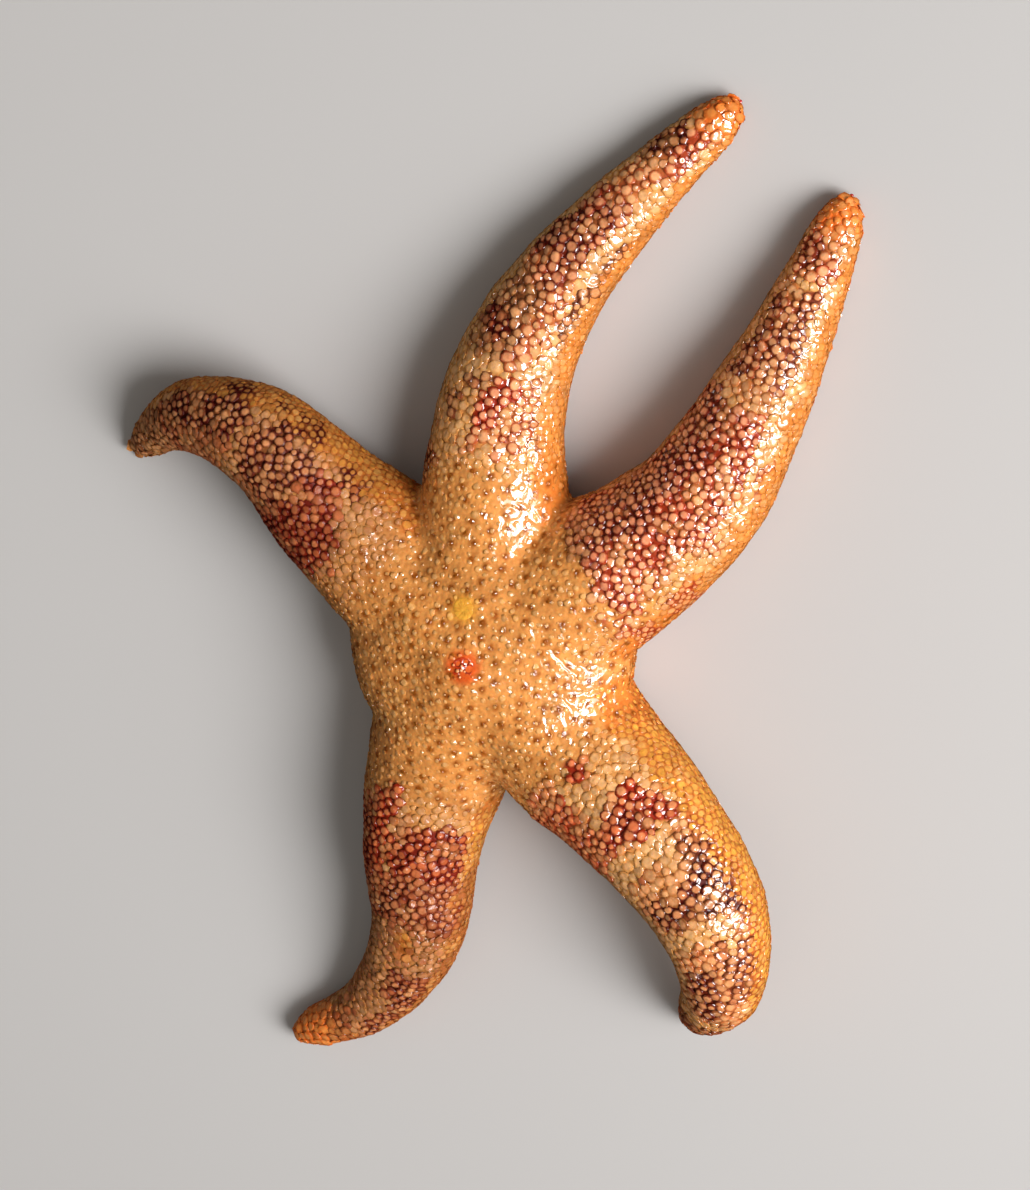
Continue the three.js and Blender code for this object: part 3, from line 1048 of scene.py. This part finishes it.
top = np.maximum(topness(allFound["turn"]), onDisc)
size = mixed(np.array(form["flankSpread"]), np.array(form["spread"]), top[:, None])
size = mixed(size, np.array(form["discSpread"]), onDisc[:, None])
spreadOfSizes = form["sizeSpread"] * (1 + onDisc[:, None])
size = size * spacing[:, None] * (1 + spreadOfSizes * spin.uniform(-1, 1, (total, 1)))
height = mixed(form["flankHeight"], form["height"], top)
marked = np.maximum(pigment["red"][:, 0], pigment["dark"][:, 0])
size = size * (1 - form["markedShrink"] * (2 - top) * marked)[:, None]
pale, orange = form["paleRelief"]
height = height * np.minimum(pale + (1 - pale) * marked, 1 - (1 - orange) * pigment["orange"][:, 0])
height = mixed(height, form["discHeight"], onDisc)
room = np.clip(spacing / form["usualSpacing"], *form["heightLimits"])
height = height * room ** (1 - onDisc) * (1 + form["heightSpread"] * spin.uniform(-1, 1, total))
size = np.column_stack([size, height])
isNub = onDisc > form["nubsFrom"]
kind = np.where(isNub, spin.choice(nubKinds, total), spin.integers(0, nubKinds[0], total))
flankTilt, topTilt = form["tiltParts"]
tilted = allNormals + spin.normal(0, 1, (total, 3)) * form["tilt"] * (flankTilt + topTilt * top[:, None])
turning, topTurning, discTurning = form["turns"]
facing = []
for i in range(total):
    turn = spin.normal(0, turning + topTurning * top[i] + discTurning * onDisc[i])
    across = Vector(tangents[i])
    across.rotate(Matrix.Rotation(turn, 3, Vector(allNormals[i])))
    facing.append(tuple(facingOf(tilted[i], across)))
facing = np.array(facing)
besidePore = np.array([poreTree.find(p)[2] < form["poreClear"] for p in allPlaces])
nearDisc, shrunk = form["nearPore"]
size[besidePore & (onDisc > nearDisc)] *= shrunk
size[isPore] = form["poreSize"]
kind[isPore] = poreKind
crownPigment = np.clip(columns(pigment, 1) * spin.uniform(*form["crownTones"], (total, 1)), 0, 1)

out = np.hypot(allPlaces[:, 0], allPlaces[:, 1])
out = maps["discReach"] * np.degrees(np.arctan2(out, allPlaces[:, 2] - maps["middle"])) / 180
heading = np.arctan2(allPlaces[:, 1], allPlaces[:, 0])
discMap = np.column_stack([0.5 + out * np.cos(heading), 0.5 + out * np.sin(heading), 0 * out])
shares = np.column_stack([allFound["share"], (allFound["turn"] + 90) / 360])
armMap = np.column_stack([maps["armEdge"] + maps["armReach"] * shares, 0 * out])
toEnd = np.array([arm["length"] for arm in arms.values()])[armOf] - allFound["distance"]
tipRows = (armOf + maps["rowStart"] + maps["rowReach"] * (1 - toEnd / beads["tipStart"])) / len(arms)
tipMap = np.column_stack([tipRows, armMap[:, 1], 0 * out])
isDisc = allFound["distance"] < beads["discEnd"]
isTip = toEnd < beads["tipStart"]
sites = {
    "place": allPlaces,
    "kind": kind,
    "facing": facing,
    "size": size,
    "rootMap": np.where(isDisc[:, None], discMap, np.where(isTip[:, None], tipMap, armMap)),
    "tone": spin.uniform(0, 1, total),
    "ember": np.array([ember[name] for name in armNames])[armOf],
    "wetAndLit": wetAndLitOf(allFound),
    "gapPigment": columns(pigment, 0),
    "crownPigment": crownPigment,
    "ground": groundOf(allPlaces, allFound, pigment, isPore.astype(float)),
}


def chosen(test):
    return {key: values[test] for key, values in sites.items()}


beadGrowth = growth(pebbles)
coats = [grow("discBeads", beadGrowth, chosen(isDisc)), grow("tipBeads", beadGrowth, chosen(isTip))]
for index, name in enumerate(armNames):
    mine = (armOf == index) & ~isDisc & ~isTip
    coats.append(grow("beadsOfArm" + name[-1].upper(), beadGrowth, chosen(mine)))

toPore = np.array([poreTree.find(p)[2] for p in skinPoints])
nearPore = form["poreShade"] * (1 - smoothStep(*form["poreRing"], toPore))
keepNumbers(body, "gapPigment", columns(skinPigment, 0), "FLOAT_COLOR")
keepNumbers(body, "ground", groundOf(skinPoints, skinFound, skinPigment, nearPore), "FLOAT_COLOR")
keepNumbers(body, "wetAndLit", wetAndLitOf(skinFound))
print("markings laid on")


# Vent and sieve plate: low cushions that follow the skin, one pitted and one grooved
cushions = {
    "sides": 72,
    "rings": 56,
    "foot": 0.05,  # how far the rim sinks in, and from where
    "footFrom": 0.8,
}


def topOfSkin(x, y):
    above = np.array([x, y, 20])
    hit, _, _, _ = bodyTree.ray_cast(Vector((above + discCentre) * mm), Vector((0, 0, -1)))
    return hit.z / mm


def cushion(name, settings, reliefAt):
    # the cap of a ball laid on the skin, with its relief; its foot stays below the skin
    made = halfBall(name, cushions["sides"], cushions["rings"])
    spread, heading = spreadOut(made)
    x = settings["radius"] * spread * np.cos(heading)
    y = settings["radius"] * spread * np.sin(heading)
    relief, hollowShade = reliefAt(x, y, spread, heading)
    under = np.array([topOfSkin(*(settings["middle"][:2] + (a, b))) for a, b in zip(x, y)])
    foot = cushions["foot"] * smoothStep(cushions["footFrom"], 1, spread)
    z = under + settings["rise"] * (1 - spread**3) - foot + relief
    writePoints(made, np.column_stack([x + settings["middle"][0], y + settings["middle"][1], z]))
    # the mask by which the hollows are darkened with painted shade
    keepNumbers(made, "hollowShade", hollowShade)
    bpy.ops.object.shade_smooth()
    return made


def pitted(x, y, *_):
    depth = np.zeros(len(x))
    for across, up, radius in vent["pits"]:
        wide = vent["pitWidth"] * radius
        depth = np.maximum(depth, np.exp(-((x - across) ** 2 + (y - up) ** 2) / wide**2))
    return -vent["pitDepth"] * depth, smoothStep(*vent["pitShade"], depth)


def grooved(x, y, spread, heading):
    wander = np.array([noise.noise(Vector((a, b, 3)) * sievePlate["wanderTurns"]) for a, b in zip(x, y)])
    bend = wander * sievePlate["wander"] + spread * sievePlate["swirl"]
    groove = np.abs(np.sin(heading * sievePlate["grooves"] / 2 + bend))
    begin, full, fade, end = sievePlate["grooved"]
    shown = smoothStep(begin, full, spread) * (1 - smoothStep(fade, end, spread))
    groove = (1 - smoothStep(0, sievePlate["grooveWidth"], groove)) * shown
    return -sievePlate["grooveDepth"] * groove, groove


ventPatch = cushion("ventPatch", vent, pitted)
nubs = []
for across, up, radius in vent["nubs"]:
    x, y = vent["middle"][:2] + (across, up)
    foot = np.array([x, y, topOfSkin(x, y) + vent["nubLift"]])
    nubs.append(knob(foot, radius, vent["nubSides"], vent["nubStretch"]))
    keepNumbers(nubs[-1], "nub", np.ones(len(nubs[-1].data.vertices)))
joined([ventPatch, *nubs])
sieve = cushion("sievePlate", sievePlate, grooved)
print("vent and sieve plate made")


# Mouth: a puckered membrane in its pit, drawn in between five jaws
mouth = {
    "sides": 120,
    "rings": 48,
    "radius": 1.35,
    "level": (1.30, 0.55),  # of its rim, and how far its jaws hang below it
    "throat": 0.22,
    "jawTurn": 0.6,
    "jawReach": 1.6,
    "jawParts": (0.45, 0.55),  # of the hang between the jaws, and added at them
    "folds": 40,
    "foldDepth": 0.025,
    "foldFrom": (0.1, 0.5),
    "shade": (0.15, 0.6),  # how far it hangs where its painted shade ends, and its own colour is full
}


def mouthMembrane():
    made = halfBall("mouthMembrane", mouth["sides"], mouth["rings"], upper=False)
    spread, heading = spreadOut(made, -1)
    rim, depth = mouth["level"]
    least, more = mouth["jawParts"]
    jaws = 0.5 + 0.5 * np.cos(5 * heading + mouth["jawTurn"])
    gape = mouth["throat"] * (mouth["jawReach"] - jaws)
    hang = smoothStep(0, gape, spread) * (1 - spread**2) * (least + more * jaws)
    folds = np.sin(heading * mouth["folds"]) * mouth["foldDepth"] * smoothStep(*mouth["foldFrom"], spread)
    z = rim - depth * hang + folds * (1 - spread)
    out = mouth["radius"] * spread
    writePoints(made, np.column_stack([out * np.cos(heading), out * np.sin(heading), z]))
    keepNumbers(made, "hollowShade", 1 - smoothStep(*mouth["shade"], hang))
    bpy.ops.object.shade_smooth()
    return made


membrane = mouthMembrane()

# Tube feet in two rows in each furrow, and the spines that guard its edges
feet = {
    "pitch": 0.52,
    "offset": 0.11,  # from the arm's line, as a share of its half width
    "size": (0.17, 0.17, 0.55),
    "firstAt": 1.9,
    "lastBefore": 1.0,
    "lean": (-0.1, 0.35),
    "flattens": False,
}
spines = {
    "pitch": 0.30,
    "offset": 0.43,
    "size": (0.06, 0.06, 0.36),
    "firstAt": 2.2,
    "lastBefore": 0.8,
    "flattens": True,  # they lie flatter where the floor is near
}
underneath = {
    "stray": (0.92, 1.08),  # of the offset
    "sizes": (0.85, 1.1),
    "scaleParts": (0.55, 0.45),  # everywhere, and added where the arm is widest
    "sway": 0.25,
    "floorClear": 0.05,  # of a spine's end
    "steepest": 0.8,
    "footClear": 0.02,
    "leastDrop": 0.05,
    "leastLength": 0.08,
    "rooted": 0.03,
    "castFrom": 0.6,
    "castReach": 3,
}
footShapes = setAside("footShapes", [
    rod("foot0", 8, 6, [(0, 1.0), (0.2, 0.85), (0.75, 0.6), (0.85, 0.72), (0.95, 1.0), (1, 0.8)]),
    rod("foot1", 8, 6, [(0, 1.0), (0.3, 0.9), (0.7, 0.75), (0.9, 0.95), (1, 0.7)]),
])
spineShapes = setAside("spineShapes", [
    rod("spine0", 6, 3, [(0, 1.0), (0.5, 0.85), (0.9, 0.6), (1, 0.3)]),
    rod("spine1", 6, 3, [(0, 0.9), (0.4, 1.0), (0.85, 0.7), (1, 0.4)]),
])


def underArm(arm, distance, across):
    # where a line up through the arm from below meets its skin
    at = np.array([distance])
    downward = -between(arm, "upward", at)[0]
    start = between(arm, "path", at)[0] + between(arm, "sideways", at)[0] * across
    start = Vector((start + downward * underneath["castFrom"] + discCentre) * mm)
    hit, _, _, _ = bodyTree.ray_cast(start, Vector(-downward), underneath["castReach"] * mm)
    return (None if hit is None else np.array(hit) / mm - discCentre), downward


def underSites(settings, leanOf):
    found = {"place": [], "kind": [], "facing": [], "size": [], "rootMap": []}
    least, more = underneath["scaleParts"]
    for index, arm in enumerate(arms.values()):
        reach = np.arange(settings["firstAt"], arm["length"] - settings["lastBefore"], settings["pitch"])
        for distance in reach:
            half = float(halfWidthAt(arm, distance))
            row = (index + maps["rowStart"] + maps["rowReach"] * distance / arm["length"]) / len(arms)
            for side in (-1, 1):
                across = side * settings["offset"] * half * random.uniform(*underneath["stray"])
                place, downward = underArm(arm, distance + 0.5 * settings["pitch"] * (side > 0), across)
                if place is None:
                    continue
                sideways = between(arm, "sideways", np.array([distance]))[0]
                along = between(arm, "along", np.array([distance]))[0]
                scale = least + more * half / arm["root"]
                size = np.array(settings["size"]) * scale * random.uniform(*underneath["sizes"])
                if settings["flattens"]:
                    room = max((place[2] - underneath["floorClear"]) / size[2], 0)
                    downward = downward * min(room, underneath["steepest"])
                pointing = leanOf(downward, sideways * side, along)
                pointing = pointing / np.linalg.norm(pointing)
                drop = max(-pointing[2], underneath["leastDrop"])
                length = max((place[2] - underneath["footClear"]) / drop, underneath["leastLength"])
                size[2] = min(size[2], length)
                found["place"].append(place - pointing * underneath["rooted"])
                found["kind"].append(random.randrange(2))
                found["facing"].append(tuple(facingOf(pointing, along)))
                found["size"].append(size)
                found["rootMap"].append((row, 0.5 + maps["sideReach"] * side, 0))
    return {key: np.array(values) for key, values in found.items()}


def swayed(along):
    return along * random.uniform(-underneath["sway"], underneath["sway"])


def footLean(downward, outward, along):
    return downward + (outward * random.uniform(*feet["lean"]) + swayed(along))


def spineLean(downward, outward, along):
    return downward - outward + swayed(along)


footSites = underSites(feet, footLean)
spineSites = underSites(spines, spineLean)
tubeFeet = grow("tubeFeet", growth(footShapes), footSites)
furrowSpines = grow("furrowSpines", growth(spineShapes), spineSites)

# A red eye spot at the end of each arm
eyeSpot = {
    "radius": 0.075,
    "turn": -90,
    "before": 0.08,
    "beyond": 0.02,
    "sides": (20, 14),
    "stretch": (1.1, 1.1, 0.8),
}


def eyeSpots():
    made = []
    for arm in arms.values():
        distance = np.array([arm["length"] - eyeSpot["before"]])
        place = skinPoint(arm, distance, np.radians([eyeSpot["turn"]]))[0]
        middle = place + arm["along"][-1] * eyeSpot["beyond"]
        middle[2] = max(middle[2], eyeSpot["radius"])
        made.append(knob(middle, eyeSpot["radius"], eyeSpot["sides"], eyeSpot["stretch"]))
    made[0].name = "eyeSpots"
    return joined(made)


eyes = eyeSpots()
print("underside and eye spots made")


# Finishes
flesh = {
    # colours of the gaps between the beads and of their crowns
    "gap": (0.73, 0.295, 0.075),
    "crown": (0.83, 0.395, 0.155),
    "discGap": (0.73, 0.285, 0.065),
    "discCrown": (0.80, 0.36, 0.12),
    "orangeGap": (0.72, 0.20, 0.028),
    "orangeCrown": (0.80, 0.25, 0.05),
    "redGap": (0.34, 0.020, 0.003),
    "redCrown": (0.90, 0.30, 0.145),
    "emberCrown": (0.72, 0.155, 0.04),
    "goldCrown": (0.92, 0.37, 0.045),
    "darkGap": (0.10, 0.005, 0.001),
    "darkCrown": (0.40, 0.09, 0.028),
    "glowGap": (0.80, 0.17, 0.02),
    "glowCrown": (0.90, 0.27, 0.05),
    "pore": (0.34, 0.075, 0.003),
    "ventGap": (0.68, 0.10, 0.012),
    "ventCrown": (0.80, 0.22, 0.05),
    "sieveGap": (0.82, 0.33, 0.04),
    "sieveCrown": (0.90, 0.41, 0.08),
    "crownFrom": (0.50, 0.84),  # how far in from a bead's edge its crown's colour begins, and is full
    "edgeScale": 3.5,  # the crowns' colour has an uneven edge
    "edgeWander": 0.4,
    "roughness": (0.42, 0.60),
    "paintedShadeWhereDry": 0.66,  # painted shade: the flesh is this much darker on the far, dry arms
    "tones": (0.9, 1.1),
    "clouds": ((1.1, 0.10), (5, 0.10)),  # how many to the millimetre, and how strong
    "cloudFrom": (0.3, 0.7),
    "patchClouds": (4, 0.12),
}
wet = {
    "specular": 0.2,
    "film": 1.0,
    "filmRoughness": 0.06,
    "filmIor": 2.0,
    "softness": 0.2,
    "softDepth": 0.25,
    "softColour": (1.0, 0.35, 0.15),
    "knobs": 5,  # to the millimetre
    "knobSoftness": 0.6,
    "knobHeight": 0.032,
    "grainScale": 14,
    "grainFrom": (0.35, 0.65),
    "grainHeight": 0.008,
    "rippleScale": 1.5,  # the water film lies in winding ripples over the beads
    "rippleTurns": 18,
    "ringTurns": 2.5,  # and in rings round each bead
    "rippleHeight": 0.026,
}


def mixNode(tree, factor, first, second):
    # a plain colour is given without its alpha
    first, second = ((*c, 1) if isinstance(c, tuple) else c for c in (first, second))
    return added(tree, "ShaderNodeMix", {0: factor, 6: first, 7: second}, data_type="RGBA").outputs[2]


def amountOf(tree, name):
    return added(tree, "ShaderNodeAttribute", attribute_name=name).outputs["Fac"]


def rangeNode(tree, value, low, high, lowest=0.0, highest=1.0):
    ends = {"Value": value, "From Min": low, "From Max": high, "To Min": lowest, "To Max": highest}
    return added(tree, "ShaderNodeMapRange", ends, interpolation_type="SMOOTHSTEP").outputs[0]


def noiseNode(tree, place, scale, detail=2.0):
    noises = {"Vector": place, "Scale": scale, "Detail": detail}
    return added(tree, "ShaderNodeTexNoise", noises).outputs["Fac"]


def mathNode(tree, operation, *values):
    return added(tree, "ShaderNodeMath", dict(enumerate(values)), operation=operation).outputs[0]


def shaded(tree, colour, value):
    return added(tree, "ShaderNodeHueSaturation", {"Value": value, "Color": colour}).outputs[0]


def cloudy(tree, place, colour, scale, amount):
    # lighter and darker clouds in a colour
    cloud = noiseNode(tree, place, scale)
    return shaded(tree, colour, rangeNode(tree, cloud, *flesh["cloudFrom"], 1 - amount, 1 + amount))


def separated(tree, name):
    source = added(tree, "ShaderNodeAttribute", attribute_name=name)
    parts = added(tree, "ShaderNodeSeparateColor", {0: source.outputs["Color"]})
    return [*parts.outputs, source.outputs["Alpha"]]


def startMaterial(name):
    # a wet, slightly see-through flesh with fine knobs; gives back what the colours need
    material = bpy.data.materials.new(name)
    material.use_nodes = True
    tree = material.node_tree
    shader = tree.nodes["Principled BSDF"]
    place = added(tree, "ShaderNodeTexCoord").outputs["Object"]
    place = added(tree, "ShaderNodeMapping", {0: place, "Scale": (1 / mm, 1 / mm, 1 / mm)}).outputs[0]
    grain = noiseNode(tree, place, wet["grainScale"])
    knobs = added(tree, "ShaderNodeTexVoronoi", {
        "Vector": place,
        "Scale": wet["knobs"],
        "Smoothness": wet["knobSoftness"],
    }, feature="SMOOTH_F1")
    coarse = added(tree, "ShaderNodeBump", {
        "Height": knobs.outputs["Distance"],
        "Distance": wet["knobHeight"] * mm,
    }, invert=True)
    fine = added(tree, "ShaderNodeBump", {
        "Height": grain,
        "Distance": wet["grainHeight"] * mm,
        "Normal": coarse.outputs[0],
    })
    rings = mathNode(tree, "MULTIPLY", amountOf(tree, "crown"), wet["ringTurns"])
    winding = noiseNode(tree, place, wet["rippleScale"], 1.0)
    winding = mathNode(tree, "MULTIPLY_ADD", winding, wet["rippleTurns"], rings)
    ripples = added(tree, "ShaderNodeBump", {
        "Height": mathNode(tree, "SINE", winding),
        "Distance": wet["rippleHeight"] * mm,
    })
    sockets = {
        "Roughness": rangeNode(tree, grain, *wet["grainFrom"], *flesh["roughness"]),
        "Normal": fine.outputs[0],
        "Coat Normal": ripples.outputs[0],
        "Specular IOR Level": wet["specular"],
        "Coat Weight": wet["film"],
        "Coat Roughness": wet["filmRoughness"],
        "Coat IOR": wet["filmIor"],
        "Subsurface Weight": wet["softness"],
        "Subsurface Radius": wet["softColour"],
        "Subsurface Scale": wet["softDepth"] * mm,
    }
    for socket, value in sockets.items():
        feed(tree, shader.inputs[socket], value)
    return material, tree, shader, place


def fleshMaterial(name, beaded):
    material, tree, shader, place = startMaterial(name)
    disc, pore, ventGlow, sieveGlow = separated(tree, "ground")

    def layered(part, pigments, red, orange):
        redness, dark, orangeness, glow = pigments
        colour = mixNode(tree, disc, flesh[part], flesh["disc" + part.capitalize()])
        colour = mixNode(tree, orangeness, colour, orange)
        colour = mixNode(tree, redness, colour, red)
        for name, amount in (("dark", dark), ("glow", glow), ("sieve", sieveGlow), ("vent", ventGlow)):
            colour = mixNode(tree, amount, colour, flesh[name + part.capitalize()])
        return colour

    wetAndLit = amountOf(tree, "wetAndLit")
    feed(tree, shader.inputs["Coat Weight"], rangeNode(tree, wetAndLit, 0, 1, 0, wet["film"]))
    colour = layered("gap", separated(tree, "gapPigment"), flesh["redGap"], flesh["orangeGap"])
    if beaded:
        uneven = noiseNode(tree, place, flesh["edgeScale"])
        uneven = mathNode(tree, "MULTIPLY_ADD", uneven, flesh["edgeWander"], amountOf(tree, "crown"))
        deeper = amountOf(tree, "ember")
        red = mixNode(tree, deeper, flesh["redCrown"], flesh["emberCrown"])
        orange = mixNode(tree, deeper, flesh["orangeCrown"], flesh["goldCrown"])
        crownColour = layered("crown", separated(tree, "crownPigment"), red, orange)
        colour = mixNode(tree, rangeNode(tree, uneven, *flesh["crownFrom"]), colour, crownColour)
        colour = shaded(tree, colour, rangeNode(tree, amountOf(tree, "tone"), 0, 1, *flesh["tones"]))
    colour = mixNode(tree, pore, colour, flesh["pore"])
    for scale, amount in flesh["clouds"]:
        colour = cloudy(tree, place, colour, scale, amount)
    # painted shade: the colour is darkened where the arms are dry, away from the light
    colour = shaded(tree, colour, rangeNode(tree, wetAndLit, 0, 1, flesh["paintedShadeWhereDry"], 1))
    feed(tree, shader.inputs["Base Color"], colour)
    return material


# The smaller parts' colours on their rises and in their hollows, and that of the vent's nubs; in the vent's
# pits, the sieve plate's grooves and the mouth's pit the hollows' darker colour is painted shade
patchColours = {
    "ventFlesh": ((0.55, 0.045, 0.006), (0.12, 0.004, 0.001)),
    "sieveChalk": ((0.92, 0.41, 0.045), (0.82, 0.31, 0.03)),
    "mouthFlesh": ((0.66, 0.30, 0.11), (0.25, 0.05, 0.02)),
    "footFlesh": ((0.74, 0.40, 0.13), (0.84, 0.58, 0.28)),
    "spineChalk": ((0.62, 0.28, 0.09), (0.80, 0.50, 0.24)),
    "eyeRed": ((0.45, 0.02, 0.01), (0.2, 0.01, 0.005)),
}
nubColour = (0.86, 0.32, 0.12)


def patchMaterial(name, mask="hollowShade", nub=None):
    # the finish of a part with hollows: one colour on the rises, one in the hollows as painted shade
    material, tree, shader, place = startMaterial(name)
    colour = mixNode(tree, amountOf(tree, mask), *patchColours[name])
    if nub:
        colour = mixNode(tree, amountOf(tree, "nub"), colour, nub)
    feed(tree, shader.inputs["Base Color"], cloudy(tree, place, colour, *flesh["patchClouds"]))
    return material


def finish(piece, material, slot, *replaced):
    piece.data.materials.clear()
    piece.data.materials.append(material)
    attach(piece, "root")
    if replaced:
        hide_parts(*replaced)


beadFinish = fleshMaterial("wetBeads", True)
finish(body, fleshMaterial("wetSkin", False), "skin", "disc", *armNames,
       *[name.replace("arm", "tip") for name in armNames])
for piece in coats:
    finish(piece, beadFinish, "tip" if piece.name == "tipBeads" else "skin")
finish(ventPatch, patchMaterial("ventFlesh", nub=nubColour), "vent", "vent")
finish(sieve, patchMaterial("sieveChalk"), "sieve_plate", "madreporite")
finish(membrane, patchMaterial("mouthFlesh"), "mouth", "mouth")
finish(tubeFeet, patchMaterial("footFlesh", "crown"), "skin")
finish(furrowSpines, patchMaterial("spineChalk", "crown"), "skin")
finish(eyes, patchMaterial("eyeRed"), "tip")

# Floor, lights and camera
studio = {
    "floorSize": 2.0,
    "floorColour": (0.50, 0.485, 0.465),
    "floorRoughness": 0.7,
    "world": (1.0, 0.96, 0.91),
    "worldStrength": 0.25,
    "keyFrom": (0.78, -0.06, 0.60),
    "keyColour": (0.985, 0.98, 1.0),
    "farStrength": 3.0,  # of the key's far part, which lights the whole floor
    "farWidth": 31,  # degrees across
    "boxPower": 0.043,  # of its near part, a softbox with a grid
    "boxSize": 88,
    "boxAway": 115,
    "boxSpread": 110,
    "lensMm": 90,
    "distance": 114.54,
    "aim": (0.9, 1.9, 2.0),
    "leanDegrees": 25,
    "leanTowards": 45,
}
bpy.ops.mesh.primitive_plane_add(size=studio["floorSize"], location=(0, 0, 0))
floor = bpy.context.object
floor.name = "floor"
floor.visible_glossy = False  # the wet skin doesn't mirror the pale floor
paper = bpy.data.materials.new("palePaper")
paper.use_nodes = True
paperShader = paper.node_tree.nodes["Principled BSDF"]
paperShader.inputs["Base Color"].default_value = (*studio["floorColour"], 1)
paperShader.inputs["Roughness"].default_value = studio["floorRoughness"]
floor.data.materials.append(paper)

world = bpy.data.worlds.new("softRoom")
bpy.context.scene.world = world
world.use_nodes = True
room = world.node_tree.nodes["Background"]
room.inputs["Color"].default_value = (*studio["world"], 1)
room.inputs["Strength"].default_value = studio["worldStrength"]


def keyPart(name, kind):
    light = bpy.data.objects.new(name, bpy.data.lights.new(name, kind))
    light.data.color = studio["keyColour"]
    light.rotation_euler = Vector(studio["keyFrom"]).to_track_quat("Z", "Y").to_euler()
    bpy.context.scene.collection.objects.link(light)
    return light


farKey = keyPart("farKey", "SUN")
farKey.data.energy = studio["farStrength"]
farKey.data.angle = math.radians(studio["farWidth"])
softbox = keyPart("softbox", "AREA")
softbox.data.energy = studio["boxPower"]
softbox.data.size = studio["boxSize"] * mm
softbox.data.spread = math.radians(studio["boxSpread"])
softbox.location = (Vector(discCentre) + Vector(studio["keyFrom"]).normalized() * studio["boxAway"]) * mm
# only the key light glints on the wet skin
world.cycles_visibility.glossy = False

tilt = math.radians(studio["leanDegrees"])
side = math.radians(studio["leanTowards"])
away = Vector((math.sin(tilt) * math.cos(side), math.sin(tilt) * math.sin(side), math.cos(tilt)))
upView = (Vector((0, 1, 0)) - away * away.y).normalized()
rightView = upView.cross(away)
camera = bpy.data.objects.new("camera", bpy.data.cameras.new("camera"))
camera.data.lens = studio["lensMm"]
camera.data.clip_start = 1 * mm
aim = (Vector(discCentre) + Vector(studio["aim"])) * mm
camera.matrix_world = Matrix.Translation(aim + away * studio["distance"] * mm) @ Matrix(
    (rightView, upView, away)).transposed().to_4x4()
bpy.context.scene.collection.objects.link(camera)
bpy.context.scene.camera = camera
bpy.context.scene.view_settings.view_transform = "Standard"
